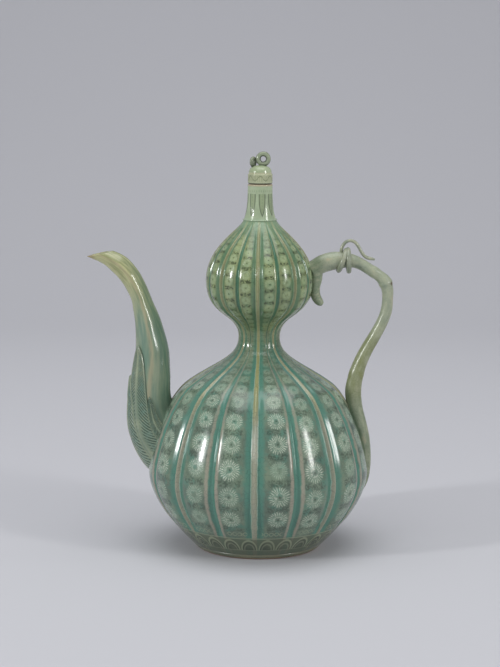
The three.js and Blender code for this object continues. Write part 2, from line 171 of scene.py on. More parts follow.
def write_mesh(name, points, faces, uvs, sharp_rows=()):
    """A mesh object from a grid of points in millimetres, quads by corner number and UV maps by
    corner. The edges along a sharp row shade apart, as where one member meets the next."""
    mesh = bpy.data.meshes.new(name)
    places = points.reshape(-1, 3) * MM
    places[:, 0] += AXIS_X * MM
    mesh.vertices.add(len(places))
    mesh.vertices.foreach_set("co", places.ravel())
    mesh.loops.add(faces.size)
    mesh.loops.foreach_set("vertex_index", faces.ravel())
    mesh.polygons.add(len(faces))
    mesh.polygons.foreach_set("loop_start", np.arange(len(faces)) * 4)
    mesh.polygons.foreach_set("loop_total", np.full(len(faces), 4))
    mesh.polygons.foreach_set("use_smooth", np.ones(len(faces), dtype=bool))
    for label, corners in uvs.items():
        layer = mesh.uv_layers.new(name=label)
        layer.data.foreach_set("uv", corners.ravel())
    mesh.update(calc_edges=True)
    ends = np.empty(2 * len(mesh.edges), dtype=np.int32)
    mesh.edges.foreach_get("vertices", ends)
    rows = ends.reshape(-1, 2) // points.shape[1]
    sharp = (rows[:, 0] == rows[:, 1]) & np.isin(rows[:, 0], sharp_rows)
    mesh.edges.foreach_set("use_edge_sharp", sharp)
    shell = bmesh.new()
    shell.from_mesh(mesh)
    bmesh.ops.remove_doubles(shell, verts=shell.verts, dist=2e-6)
    shell.to_mesh(mesh)
    shell.free()
    mesh.validate()
    piece = bpy.data.objects.new(name, mesh)
    bpy.context.scene.collection.objects.link(piece)
    return piece


def tube_faces(rows, columns):
    """Corner numbers of the quads between rows of a grid whose columns close on themselves."""
    row = np.arange(rows - 1)[:, None]
    column = np.arange(columns)[None, :]
    after = (column + 1) % columns
    corners = [row * columns + column, row * columns + after,
               (row + 1) * columns + after, (row + 1) * columns + column]
    return np.stack(corners, axis=-1).reshape(-1, 4)


def capped(points):
    """A grid with a pole put before its first row and after its last, at each row's middle."""
    first = np.broadcast_to(points[0].mean(axis=0), points[0].shape)
    last = np.broadcast_to(points[-1].mean(axis=0), points[-1].shape)
    return np.concatenate([first[None], points, last[None]])


def turned(profile, columns):
    """A profile of (radius, height) turned round the axis: (r cos a, r sin a, z)."""
    angle = np.arange(columns) * 2 * math.pi / columns
    radius = profile[:, :1]
    height = np.broadcast_to(profile[:, 1:], (len(profile), columns))
    return np.stack([radius * np.cos(angle), radius * np.sin(angle), height], axis=-1)


def through(stations, share):
    """Points of a centripetal Catmull-Rom line: between two stations a cubic whose slope at each
    comes from the three nearest stations, weighted by the roots of their distances."""
    stations = np.asarray(stations, dtype=float)
    ends = np.vstack([2 * stations[0] - stations[1], stations, 2 * stations[-1] - stations[-2]])
    place = np.clip(share, 0.0, 1.0) * (len(stations) - 1)
    first = np.minimum(place.astype(int), len(stations) - 2)
    part = (place - first)[:, None]
    before, start, end, after = (ends[first + offset] for offset in range(4))
    gap_before, gap, gap_after = (np.maximum(np.linalg.norm(one - two, axis=1), 1e-6)[:, None] ** 0.5
                                  for one, two in ((start, before), (end, start), (after, end)))
    leave = (start - before) / gap_before - (end - before) / (gap_before + gap) + (end - start) / gap
    arrive = (end - start) / gap - (after - start) / (gap + gap_after) + (after - end) / gap_after
    leave *= gap
    arrive *= gap
    return (start + leave * part + (3 * (end - start) - 2 * leave - arrive) * part ** 2
            + (2 * (start - end) + leave + arrive) * part ** 3)


def limb_line(stations, share):
    """Middle, tangent, half depth, half breadth and bore of a limb of (x, z, depth, breadth, bore)."""
    stations = np.asarray(stations, dtype=float)
    middle = through(stations[:, :2], share)
    step = 1e-4
    tangent = through(stations[:, :2], share + step) - through(stations[:, :2], share - step)
    tangent /= np.linalg.norm(tangent, axis=1)[:, None]
    return middle, tangent, through(stations[:, 2:], share)


def skin(stations, share, angle, lift=0.0, size=None):
    """Points on a limb's skin: middle + (depth + lift) cos(angle) across it in the X-Z plane, and
    (breadth + lift) sin(angle) along Y. The arrays share, angle and lift are spread alike."""
    share, angle, lift = np.broadcast_arrays(share, angle, lift)
    middle, tangent, sizes = limb_line(stations, share.ravel())
    if size is not None:
        sizes = np.repeat(sizes[:, size:size + 1], 2, axis=1)
    reach = (sizes[:, 0] + lift.ravel()) * np.cos(angle.ravel())
    side = (sizes[:, 1] + lift.ravel()) * np.sin(angle.ravel())
    points = np.stack([middle[:, 0] + reach * tangent[:, 1], side,
                       middle[:, 1] - reach * tangent[:, 0]], axis=-1)
    return points.reshape(*share.shape, 3)


def ring_faces(rows, columns):
    """Corner numbers of the quads of a grid that closes on itself both ways."""
    row = np.arange(rows)[:, None]
    column = np.arange(columns)[None, :]
    below = (row + 1) % rows
    after = (column + 1) % columns
    corners = [row * columns + column, row * columns + after, below * columns + after,
               below * columns + column]
    return np.stack(corners, axis=-1).reshape(-1, 4)


def uv_corners(across, along, rows_close=False):
    """A UV map by quad corner from two grids with one column more than the tube; where the rows
    close as well, the last row's quads reach back to the first row's values."""
    grid = np.stack([across, along], axis=-1)
    if rows_close:
        grid = np.concatenate([grid, grid[:1]])
    return np.stack([grid[:-1, :-1], grid[:-1, 1:], grid[1:, 1:], grid[1:, :-1]], axis=2).reshape(-1, 4,
                                                                                                  2)


# The inlay's places: the petal band at the foot, the row of linked rings over it, and where the
# glaze turns from blue green to yellow green; the front rib's place is in turns
BAND_PETALS = 28
BAND_LOW = 11.0
BAND_HIGH = 22.8
BAND_LINE = 24.4
LINKS = 112
LINK_HEIGHT = 29.5
TURN_LOW = 166.0
TURN_HIGH = 204.0
FRONT_RIB = 0.744

# The flowers: their column's place across the lobe, and their radius as a share of the lobe's
# breadth; the pitch is in radii
FLOWER_SHARE = 0.57
FLOWER_RADIUS = 0.215
FLOWER_PITCH = 0.615 / FLOWER_RADIUS
SHARES = np.concatenate([np.linspace(0.0, 0.16, 9), np.linspace(0.16, 0.86, 11)[1:],
                         np.linspace(0.86, 1.0, 6)[1:]])


def half_sector_columns():
    """Every column of the wall: its angle, its share of the way from rib to groove and its lobe."""
    angles = []
    shares = []
    lobes = []
    for half in range(HALF_SECTORS):
        way = SHARES if half % 2 == 0 else SHARES[::-1]
        start = half + (way if half % 2 == 0 else 1.0 - way)
        angles.append(RIB_TURN + start * math.pi / RIBS)
        shares.append(way)
        lobes.append(np.full(len(way), half))
    return np.concatenate(angles), np.concatenate(shares), np.concatenate(lobes)


def gourd_wall(name, line, rows, phases, cavity):
    """A ribbed bulb: radius(z) + depth(z) * relief(radius, share) round the axis outside, and the
    cavity's own plain turned line inside, in one closed shell. It shades apart at both joints."""
    angle, share, lobe = half_sector_columns()
    outer = even(line, rows)
    radius = outer[:, :1]
    height = outer[:, 1:]
    reach = radius + rib_depth(height) * relief(radius, share[None, :])
    wall = np.stack([reach * np.cos(angle), reach * np.sin(angle),
                     np.broadcast_to(height, reach.shape)], axis=-1)
    inside = np.stack([cavity[:, :1] * np.cos(angle), cavity[:, :1] * np.sin(angle),
                       np.broadcast_to(cavity[:, 1:], (len(cavity), len(angle)))], axis=-1)
    points = np.concatenate([wall, inside])
    count = len(points)
    arc = radius[:, 0] * math.pi / RIBS
    steps = np.concatenate([[0.0], np.hypot(*np.diff(outer, axis=0).T)])
    row = np.cumsum(steps / arc) / FLOWER_RADIUS
    row = np.concatenate([row, np.full(len(cavity), row[-1])])
    arc = np.concatenate([arc, np.full(len(cavity), arc[-1])])[:, None]
    half_rib = 1.2 + 2.2 * arc * RIBS / math.pi / BELLY_RADIUS
    columns = len(angle)
    panel = np.empty((count, columns, 4, 2))
    rib = np.empty((count, columns, 4, 2))
    turn = np.empty((count, columns, 4, 2))
    after = (np.arange(columns) + 1) % columns
    below = (np.arange(count) + 1) % count
    heights = points[:, 0, 2]
    phase = np.asarray(phases)[lobe] + FLOWER_PITCH * 40 * (lobe + 1)
    for corner, (rows_at, columns_at) in enumerate(((np.arange(count), np.arange(columns)),
                                                    (np.arange(count), after), (below, after),
                                                    (below, np.arange(columns)))):
        across = share[columns_at][None, :]
        panel[:, :, corner, 0] = (across - FLOWER_SHARE) / FLOWER_RADIUS
        panel[:, :, corner, 1] = row[rows_at][:, None] + phase[None, :]
        rib[:, :, corner, 0] = arc[rows_at] * across / half_rib[rows_at]
        rib[:, :, corner, 1] = (1.0 - across) / 0.13 + 0.0 * arc[rows_at]
        turns = angle[columns_at] / (2 * math.pi)
        turns = turns + (columns_at < np.arange(columns))
        turn[:, :, corner, 0] = turns[None, :]
        turn[:, :, corner, 1] = heights[rows_at][:, None]
    uvs = {"panel": panel.reshape(-1, 4, 2), "rib": rib.reshape(-1, 4, 2),
           "turn": turn.reshape(-1, 4, 2)}
    return write_mesh(name, points, ring_faces(count, columns), uvs, (0, rows))


def lathe(name, profile, columns=128):
    """A turned piece from a closed profile, drawn to poles where it touches the axis."""
    points = turned(profile, columns)
    count = len(points)
    turns = np.broadcast_to(np.arange(columns + 1) / columns, (count, columns + 1))
    height = np.broadcast_to(profile[:, 1:], (count, columns + 1))
    radius = np.broadcast_to(profile[:, :1], (count, columns + 1))
    uvs = {"turn": uv_corners(turns, height, True), "plan": uv_corners(turns, radius, True)}
    return write_mesh(name, points, ring_faces(count, columns), uvs)


# The spout, the handle and what is luted on, by stations of x, z, half depth, half breadth and bore
SPOUT = [
    (-62, 88, 30, 25, 11), (-80, 96, 28, 24, 11), (-93, 112, 22.5, 20, 13), (-98, 136, 18.2, 17, 13.5),
    (-97.6, 158, 17.2, 16.4, 13), (-97, 179, 15.4, 15.4, 12), (-99, 195.4, 13.2, 13.6, 10.4),
    (-101.2, 207, 11.7, 12.3, 9), (-104.3, 218, 10.1, 11.2, 7.6), (-107.5, 228.6, 8.9, 10.4, 6.5),
    (-112.3, 239.4, 9, 9.9, 6.2), (-117.9, 248.6, 9.2, 9.6, 5.9), (-126.2, 257.6, 9.2, 9.2, 5.5),
    (-137.6, 264.7, 7.3, 8.6, 4.7), (-153.4, 270.8, 6.2, 7.4, 3.8),
]
SPOUT_JOINT_HEIGHT = 191.0
MOUTH_CUT_LOW = (-154.7, 265.2)
MOUTH_CUT_HIGH = (-136.8, 269.2)
HANDLE = [
    (40, 250, 7.2, 7.4, 0), (48.5, 255, 7.5, 7.6, 0), (57, 259.8, 8, 7.8, 0), (66, 262.3, 8.1, 7.7, 0),
    (74.5, 263, 7.3, 7.1, 0), (82.6, 262.6, 6.3, 6.4, 0), (90.6, 260, 5.4, 5.8, 0),
    (99, 255, 5.1, 5.6, 0),
    (107, 249.8, 5, 5.6, 0), (112.9, 244, 5.8, 6, 0), (115.6, 236.4, 5.3, 5.7, 0),
    (116, 227.4, 5, 5.6, 0),
    (114.9, 217, 5.4, 5.7, 0), (110.9, 206.2, 5.4, 5.7, 0), (104.7, 194.4, 5.5, 5.8, 0),
    (97.8, 182, 5.7, 6, 0), (92, 169.2, 6.1, 6.3, 0), (88, 156.4, 6.7, 6.8, 0),
    (86, 142.5, 7.4, 7.2, 0),
    (88, 127.5, 7, 7.4, 0), (92.1, 114, 6.5, 7.2, 0), (95.6, 100.8, 6, 6.8, 0),
    (97.6, 87.5, 5.2, 6.2, 0),
    (98.2, 73.5, 4.4, 5.4, 0), (96.8, 60.5, 3.6, 4.4, 0), (92.5, 48.5, 2.2, 2.8, 0),
]
SPUR = [
    (51, 259, 6.4, 6.4, 0), (50.6, 252.5, 6.6, 6.4, 0), (50.8, 245.5, 5.8, 5.8, 0),
    (50.2, 238, 4.6, 5.2, 0), (50.8, 231, 4.4, 4.9, 0),
    (53, 226.6, 4.2, 4.5, 0), (55.6, 224.2, 3.3, 3.6, 0), (57.4, 223.2, 1.8, 2, 0),
]
ARCH = (77.4, 262.9)
TIE_LOOP = [
    (-4.1, 6), (-3.7, 10.5), (-1.5, 15), (1.3, 17.3), (5, 17.9), (8.6, 16.2), (11.8, 12.2),
    (14.4, 7.6), (17.1, 4.1), (20.6, 2.2), (24, 1.5), (26.4, 0.9),
]


def share_at(stations, height, low=0.0, high=1.0):
    """The share along a rising limb at which its middle reaches a height, by halving."""
    for _ in range(40):
        middle = (low + high) / 2
        if through(np.asarray(stations, dtype=float)[:, :2], np.array([middle]))[0, 1] < height:
            low = middle
        else:
            high = middle
    return (low + high) / 2


def first_crossing(keep, shares):
    """For each line of a limb, the share from which the test keeps its points to the end."""
    lost = ~keep
    last_lost = np.where(lost.any(axis=0), len(shares) - 1 - np.argmax(lost[::-1], axis=0), -1)
    return shares[np.clip(last_lost + 1, 0, len(shares) - 1)]


def smoothed(line, passes=6):
    """A closed line of values, each averaged with its two neighbours a few times."""
    for _ in range(passes):
        line = (np.roll(line, 1) + 2 * line + np.roll(line, -1)) / 4
    return line


# The ridges of the horn: their place round it, and how strongly the skin sinks between them
RIDGE_ANGLE = math.radians(80)
RIDGE_SHARPNESS = 0.5


def spout_skin(share, angle):
    """The spout's outer skin. Its horn has a ridge down its front and its back: between a ridge
    and the next silhouette it is lifted by -sharpness * breadth * w (1 - w)^2, where w runs from
    the ridge, 0, to the silhouette, 1."""
    share, angle = np.broadcast_arrays(share, angle)
    middle, _, sizes = limb_line(SPOUT, share.ravel())
    height = middle[:, 1].reshape(share.shape)
    breadth = sizes[:, 1].reshape(share.shape)
    round_way = np.abs((angle + math.pi) % (2 * math.pi) - math.pi)
    off = round_way - RIDGE_ANGLE
    way = np.where(off < 0, -off / RIDGE_ANGLE, off / (math.pi - RIDGE_ANGLE))
    way = np.sqrt(way ** 2 + 0.002) - 0.0447
    strength = RIDGE_SHARPNESS * smooth(height, 140.0, 205.0) * (1.0 - smooth(share, 0.88, 1.0))
    return skin(SPOUT, share, angle, -strength * breadth * way * np.clip(1.0 - way, 0.0, 1.0) ** 2)


def inside_gourd(points, sunk):
    """Which points lie more than a depth inside the outline of the bulbs."""
    return np.hypot(points[..., 0], points[..., 1]) < outline_radius(points[..., 2]) - sunk


def height_end(angle, shares, height):
    """For each line round the spout, the share at which it reaches a height."""
    points = spout_skin(shares[:, None], angle[None, :])
    return np.array([np.interp(height, points[:, line, 2], shares) for line in range(len(angle))])


def mouth_end(points, shares):
    """For each line along the spout, the share at which it reaches the slanting mouth plane."""
    slope = (MOUTH_CUT_HIGH[1] - MOUTH_CUT_LOW[1]) / (MOUTH_CUT_HIGH[0] - MOUTH_CUT_LOW[0])
    above = points[..., 2] - (MOUTH_CUT_LOW[1] + slope * (points[..., 0] - MOUTH_CUT_LOW[0]))
    before_mouth = points[..., 0] > MOUTH_CUT_LOW[0] - 20
    past = (above > 0) & before_mouth & (points[..., 2] > 250)
    first = np.where(past.any(axis=0), np.argmax(past, axis=0), len(shares) - 1)
    start = np.maximum(first - 1, 0)
    lines = np.arange(points.shape[1])
    low = above[start, lines]
    high = above[first, lines]
    part = np.clip(-low / np.maximum(high - low, 1e-6), 0.0, 1.0)
    return shares[start] + part * (shares[first] - shares[start])


def limb_uvs(share, angle_count, length, rows_close):
    """The limb's own map: share of the turn across and millimetres along."""
    turns = np.broadcast_to(np.arange(angle_count + 1) / angle_count, (len(share), angle_count + 1))
    along = np.concatenate([share, share[:, :1]], axis=1) * length
    return {"turn": uv_corners(turns, along, rows_close)}


def spout_pieces():
    """The two members of the spout, each a hollow ring of lines: out along the skin, round the
    lip and back along the bore."""
    columns = 180
    angle = np.arange(columns) * 2 * math.pi / columns
    dense = np.linspace(0.0, 1.0, 801)
    outer = spout_skin(dense[:, None], angle[None, :])
    bore = skin(SPOUT, dense[:, None], angle[None, :], size=2)
    root = smoothed(first_crossing(~inside_gourd(outer, 1.5), dense))
    joint_out = height_end(angle, dense[:650], SPOUT_JOINT_HEIGHT)
    joint_in = np.full(columns, share_at(SPOUT, SPOUT_JOINT_HEIGHT))
    root_in = np.full(columns, share_at(SPOUT, 96.0))

    def shell(name, start_out, stop_out, start_in, stop_in, rows, lip, sharp_row):
        """One member: outer rows from start to stop, a lip that rounds over, inner rows back."""
        part = np.linspace(0.0, 1.0, rows)[:, None]
        share_out = start_out + (stop_out - start_out) * part
        skin_out = spout_skin(share_out, angle[None, :])
        part_in = np.linspace(1.0, 0.0, rows // 3)[:, None]
        share_in = start_in + (stop_in - start_in) * part_in
        skin_in = skin(SPOUT, share_in, angle[None, :], size=2)
        centre = (skin_out[-1] + skin_in[0]) / 2
        away = skin_out[-1] - skin_out[-3]
        away /= np.maximum(np.linalg.norm(away, axis=1), 1e-9)[:, None]
        lips = np.stack([centre + (skin_out[-1] - centre) * math.cos(turn) + lip * away * math.sin(turn)
                         for turn in np.linspace(0.0, math.pi, 11)[1:-1]])
        points = np.concatenate([skin_out, lips, skin_in])
        shares = np.concatenate([share_out, np.broadcast_to(share_out[-1], (len(lips), columns)),
                                 share_in])
        uvs = limb_uvs(shares, columns, 260.0, True)
        return write_mesh(name, points, ring_faces(len(points), columns), uvs, (sharp_row,))

    base = shell("spout_base_glazed", root, joint_out, root_in, joint_in, 200, 0.0, 199)
    horn = shell("spout_horn_glazed", joint_out, mouth_end(outer, dense), joint_in,
                 mouth_end(bore, dense),
                 200, 0.8, 0)
    return base, horn


# Leaves on the spout: middle angle in degrees at root and tip, half spread, thickness at the edge
# and on the midrib, the tip's height, and the midrib's place off the middle. The real hatching is
# finer; it is drawn at a pitch that shows
LEAF_ROOT = 92.0
LEAF_SUNK = 0.5
HATCH_PITCH = 2.4
HATCH_LEAN = 12.0
LEAVES = {
    "spout_leaf_keel": (180, 180, 51, 2.4, 5.6, 157, 0.0),
    "spout_leaf_back_mid": (134, 142, 45, 1.3, 2.6, 187, -0.2),
    "spout_leaf_front_mid": (-134, -142, 45, 1.3, 2.6, 187, 0.2),
    "spout_leaf_back_low": (80, 92, 17, 1.6, 2.8, 140, 0.0),
    "spout_leaf_front_low": (-80, -92, 17, 1.6, 2.8, 140, 0.0),
}


def leaf(name, root, tip, spread, edge, thickness, tip_height, rib_place):
    """A pointed leaf on the spout. Half breadth is spread * (1 - s^3)^0.7, and its middle turns
    evenly from root to tip. Its lift is edge + (thickness - edge) (1 - s) (1 - |a|)^1.2, where a
    runs from the midrib, 0, to each edge, 1, with a margin that stands up, a proud midrib and fine
    hatching along s * length + |a| * breadth."""
    rows, columns = 400, 110
    first = share_at(SPOUT, LEAF_ROOT)
    last = share_at(SPOUT, tip_height)
    part = np.linspace(0.0, 1.0, rows)[:, None]
    across = np.sin(np.linspace(-1.0, 1.0, columns) * math.pi / 2)[None, :]
    half = math.radians(spread) * np.maximum(0.02, np.clip(1.0 - part ** 3, 0.0, 1.0) ** 0.7)
    share = first + (last - first) * part
    angle = np.radians(root + (tip - root) * part) + half * across
    across = (across - rib_place) / np.where(across > rib_place, 1.0 - rib_place, 1.0 + rib_place)
    flat = np.abs(across)
    rim = (1.0 - flat ** 9) ** 0.5
    rise = (thickness - edge) * np.maximum(0.15, 1.0 - part)
    open_part = 1.0 - smooth(part, 0.9, 1.0)
    ridge = 0.45 * np.exp(-(across / 0.05) ** 2) * open_part
    margin = 0.25 * np.exp(-((flat - 0.88) / 0.05) ** 2) * open_part
    length = tip_height - LEAF_ROOT
    hatch = 0.5 + 0.5 * np.cos(2 * math.pi * (part * length + HATCH_LEAN * flat) / HATCH_PITCH)
    carved = 0.45 * hatch ** 2 * smooth(flat, 0.08, 0.16) * (1.0 - smooth(flat, 0.8, 0.88)) * open_part
    lift = (edge + rise * (1.0 - flat) ** 1.2) * rim + ridge + margin - carved
    lift = lift * (1.0 - smooth(part, 0.97, 1.0) * 0.6)
    top = skin(SPOUT, share, angle, lift)
    bottom = skin(SPOUT, share, angle, -LEAF_SUNK)[:, ::-1]
    points = capped(np.concatenate([top, bottom], axis=1))
    count = len(points)
    across = np.concatenate([np.broadcast_to(across, (rows, columns)),
                             np.broadcast_to(across[:, ::-1], (rows, columns)),
                             np.full((rows, 1), -1.0)], axis=1)
    across = np.concatenate([across[:1], across, across[-1:]])
    along = np.concatenate([part[:1], part, part[-1:]]) * length * np.ones((1, 2 * columns + 1))
    return write_mesh(name, points, tube_faces(count, 2 * columns), {"leaf": uv_corners(across, along)})


def limb_tube(name, stations, start, stop, rows, columns, shape=None):
    """A solid limb between two shares of its line, its ends rounded over, its skin moved by shape."""
    share = np.linspace(start, stop, rows)[:, None]
    angle = np.arange(columns) * 2 * math.pi / columns
    lift = shape(share, angle[None, :]) if shape else 0.0
    points = capped(skin(stations, share, angle[None, :], lift))
    share = np.concatenate([share[:1], share, share[-1:]])
    share = np.broadcast_to(share, (len(share), columns))
    return write_mesh(name, points, tube_faces(len(points), columns),
                      limb_uvs(share, columns, 300.0, False))


def cord(name, middle, radius, columns=28, closed=False):
    """A round cord along a line of points: at each, a circle square to the line, turned so that
    its first point keeps to one side."""
    middle = np.asarray(middle)
    if closed:
        tangent = np.roll(middle, -1, axis=0) - np.roll(middle, 1, axis=0)
    else:
        tangent = np.gradient(middle, axis=0)
    tangent /= np.linalg.norm(tangent, axis=1)[:, None]
    side = np.cross(tangent, np.array([0.0, 1.0, 0.0]))
    weak = np.linalg.norm(side, axis=1) < 0.3
    side[weak] = np.cross(tangent[weak], np.array([1.0, 0.0, 0.0]))
    side /= np.linalg.norm(side, axis=1)[:, None]
    other = np.cross(tangent, side)
    angle = np.arange(columns) * 2 * math.pi / columns
    radius = np.broadcast_to(radius, len(middle))[:, None, None]
    points = (middle[:, None, :] + radius * (np.cos(angle)[None, :, None] * side[:, None, :]
                                             + np.sin(angle)[None, :, None] * other[:, None, :]))
    length = np.cumsum(np.concatenate([[0.0], np.linalg.norm(np.diff(middle, axis=0), axis=1)]))[:,
                                                                                                 None]
    turns = np.arange(columns + 1)[None, :] / columns
    if closed:
        across = np.broadcast_to(turns, (len(middle), columns + 1))
        along = np.broadcast_to(length, (len(middle), columns + 1))
        return write_mesh(name, points, ring_faces(len(points), columns),
                          {"turn": uv_corners(across, along, True)})
    points = capped(points)
    length = np.concatenate([length[:1], length, length[-1:]])
    across = np.broadcast_to(turns, (len(points), columns + 1))
    along = np.broadcast_to(length, (len(points), columns + 1))
    return write_mesh(name, points, tube_faces(len(points), columns),
                      {"turn": uv_corners(across, along)})


def circle(radius, middle, toward, lift, count):
    """Points of a circle: middle + radius (cos a * toward + sin a * lift)."""
    angle = np.arange(count) * 2 * math.pi / count
    return (np.asarray(middle)[None, :] + radius * (np.cos(angle)[:, None] * np.asarray(toward)[None, :]
                                                    + np.sin(angle)[:, None] * np.asarray(lift)[None,
                                                                                                :]))


# The gourd's own pieces
WAIST_BORE = WAIST[0] - BULB_WALL
FLOOR_HEIGHT = FOOT_RING_HEIGHT + BASE_THICKNESS
lower_line = LOWER_LINE[LOWER_LINE[:, 1] > FOOT_RING_HEIGHT]
lower_line = np.vstack([[FOOT_JOINT_RADIUS, FOOT_RING_HEIGHT], lower_line])
lower_inset = even(inset(lower_line, BULB_WALL + 2.0), 60)
lower_inset = lower_inset[lower_inset[:, 1] > FLOOR_HEIGHT + 3.0][::-1]
lower_cavity = np.vstack([[WAIST_BORE, WAIST_HEIGHT], lower_inset[2:],
                          [lower_inset[-1][0] - 6.0, FLOOR_HEIGHT],
                          [0.0, FLOOR_HEIGHT], [0.0, FOOT_RING_HEIGHT]])
upper_inset = even(inset(UPPER_LINE, BULB_WALL), 40)
throat_radius = float(upper_inset[-1][0])
upper_cavity = np.vstack([[throat_radius, COLLAR_HEIGHT], upper_inset[1:-1][::-1],
                          [WAIST_BORE, WAIST_HEIGHT]])

rng = np.random.default_rng(7)
lower_phases = rng.uniform(0.0, FLOWER_PITCH, HALF_SECTORS)
upper_phases = rng.uniform(0.0, FLOWER_PITCH, HALF_SECTORS)
lower_wall = gourd_wall("lower_gourd_glazed", lower_line, 196, lower_phases, lower_cavity)
upper_wall = gourd_wall("upper_gourd_glazed", UPPER_LINE, 150, upper_phases, upper_cavity)


def rounded(corners, steps=5):
    """A closed profile whose corners, given as (radius, height, rounding), are cut by small arcs."""
    count = len(corners)
    points = []
    for at in range(count):
        before = np.array(corners[at - 1][:2])
        here = np.array(corners[at][:2])
        after = np.array(corners[(at + 1) % count][:2])
        size = corners[at][2]
        if size == 0:
            points.append(here)
            continue
        back = here + (before - here) / np.linalg.norm(before - here) * size
        ahead = here + (after - here) / np.linalg.norm(after - here) * size
        for part in np.linspace(0.0, 1.0, steps):
            points.append((1 - part) ** 2 * back + 2 * part * (1 - part) * here + part ** 2 * ahead)
    return np.array(points)


foot_inner = FOOT_RADIUS - FOOT_RING_WIDTH
foot_ring = lathe("foot_ring_glazed", rounded([
    (foot_inner, 0.0, 1.2), (FOOT_RADIUS + 0.2, 0.0, 1.0), (FOOT_JOINT_RADIUS, FOOT_RING_HEIGHT, 0.0),
    (foot_inner, FOOT_RING_HEIGHT, 0.0),
]), 192)

neck_side = cubic((COLLAR_RADIUS - BEAD_RADIUS, COLLAR_HEIGHT + 2 * BEAD_RADIUS),
                  (0.85 * COLLAR_RADIUS, COLLAR_HEIGHT + 6.8),
                  (MOUTH_RADIUS, COLLAR_HEIGHT + 10.7), (MOUTH_RADIUS, MOUTH_HEIGHT - 0.8),
                  np.linspace(0.0, 1.0, 70))
bead_angle = np.radians(np.linspace(-90.0, 60.0, 12))
bead = np.stack([COLLAR_RADIUS + BEAD_RADIUS * np.cos(bead_angle),
                 COLLAR_HEIGHT + BEAD_RADIUS * (1 + np.sin(bead_angle))], axis=1)
rim_angle = np.radians(np.linspace(0.0, 180.0, 14))
rim_half = (MOUTH_RADIUS - BORE_RADIUS) / 2
rim = np.stack([MOUTH_RADIUS - rim_half + rim_half * np.cos(rim_angle),
                MOUTH_HEIGHT - 0.8 + 0.8 * np.sin(rim_angle)], axis=1)
neck = lathe("neck_glazed", np.vstack([[throat_radius, COLLAR_HEIGHT], bead, neck_side, rim,
                                       [BORE_RADIUS, THROAT_HEIGHT]]), 160)

LID_SEAT = MOUTH_HEIGHT + 0.3
LID_BAND = LID_SEAT + 8.6
LID_TOP = LID_SEAT + 16.5
LID_EDGE = MOUTH_RADIUS - 0.1
dome_line = cubic((LID_EDGE - 0.8, LID_BAND + 0.7), (LID_EDGE - 0.8, LID_BAND + 5.1),
                  (0.68 * LID_EDGE, LID_TOP), (0.0, LID_TOP), np.linspace(0.0, 1.0, 60))
band_line = rounded([
    (0.0, LID_SEAT, 0.0), (LID_EDGE, LID_SEAT, 0.9), (LID_EDGE, LID_BAND, 0.5),
    (LID_EDGE - 0.8, LID_BAND + 0.3, 0.25), (LID_EDGE - 0.8, LID_BAND + 0.7, 0.0),
])[:-1]
lid_cap = lathe("lid_cap_glazed", np.vstack([band_line, dome_line]), 160)
PLUG_RADIUS = BORE_RADIUS - 0.8
lid_plug = lathe("lid_plug_clay", rounded([
    (0.0, LID_SEAT - 15.0, 0.0), (PLUG_RADIUS, LID_SEAT - 15.0, 1.6), (PLUG_RADIUS, LID_SEAT, 0.0),
    (0.0, LID_SEAT, 0.0),
]), 96)


def dome_height(distance):
    """The height of the lid's dome at a distance from the axis."""
    return float(np.interp(distance, dome_line[::-1, 0], dome_line[::-1, 1]))


def lid_loop(name, radius, cord_radius, offset, turn):
    """An upright ring of rolled clay on the dome, a little uneven in its thickness."""
    height = dome_height(abs(offset)) + radius + cord_radius - 1.2
    toward = (math.cos(turn), math.sin(turn), 0.0)
    middle = circle(radius, (offset, 0.0, height), toward, (0.0, 0.0, 1.0), 90)
    angle = np.arange(90) * 2 * math.pi / 90
    return cord(name, middle, cord_radius * (1.0 - 0.06 * (0.5 + 0.5 * np.cos(3 * angle + turn))), 36,
                True)


RING_RADIUS = 4.5
RING_CORD = 2.3
RING_OFFSET = 2.6
lid_ring = lid_loop("lid_loop_large_glazed", RING_RADIUS, RING_CORD, RING_OFFSET, 0.0)
lid_small_ring = lid_loop("lid_loop_small_glazed", 3.4, 1.6, -6.4, math.radians(62))

spout_base, spout_horn = spout_pieces()
leaves = {name: leaf(name + "_glazed", *values) for name, values in LEAVES.items()}


def stalk_skin(share, angle):
    """Node swellings and long creases: height * exp(-((s - node) / width)^2) at each node, less a
    shallow crease down the middle of the outer side."""
    nodes = 0.0
    for node, width, height in ((0.30, 0.012, 0.35), (0.37, 0.010, 0.5), (0.67, 0.012, 0.3)):
        nodes = nodes + height * np.exp(-((share - node) / width) ** 2)
    crease = 0.16 * np.exp(-((angle - 1.9) / 0.3) ** 2) + 0.16 * np.exp(-((angle - 4.4) / 0.3) ** 2)
    rolled = 0.16 * np.sin(7 * share * math.pi + 2 * angle) + 0.08 * np.sin(31 * share + 3 * angle)
    return nodes - crease + rolled


stalk = limb_tube("handle_stalk_glazed", HANDLE, 0.032, 1.0, 420, 56, stalk_skin)
spur = limb_tube("handle_spur_glazed", SPUR, 0.0, 1.0, 90, 40)

# The tie's rolled strands and the radius of their turns round the arch
TIE_CORD = 2.4
TIE_RING = 7.0 + 0.3 + TIE_CORD
LOOP_CORD = 1.5


def tie_turn(along, slant):
    """One turn of rolled clay round the arch, tilted by a slant in degrees, as a circle's points."""
    tilt = math.radians(slant)
    middle = (ARCH[0] + along, 0.0, ARCH[1])
    return circle(TIE_RING, middle, (0.0, 1.0, 0.0), (math.sin(tilt), 0.0, math.cos(tilt)), 120)


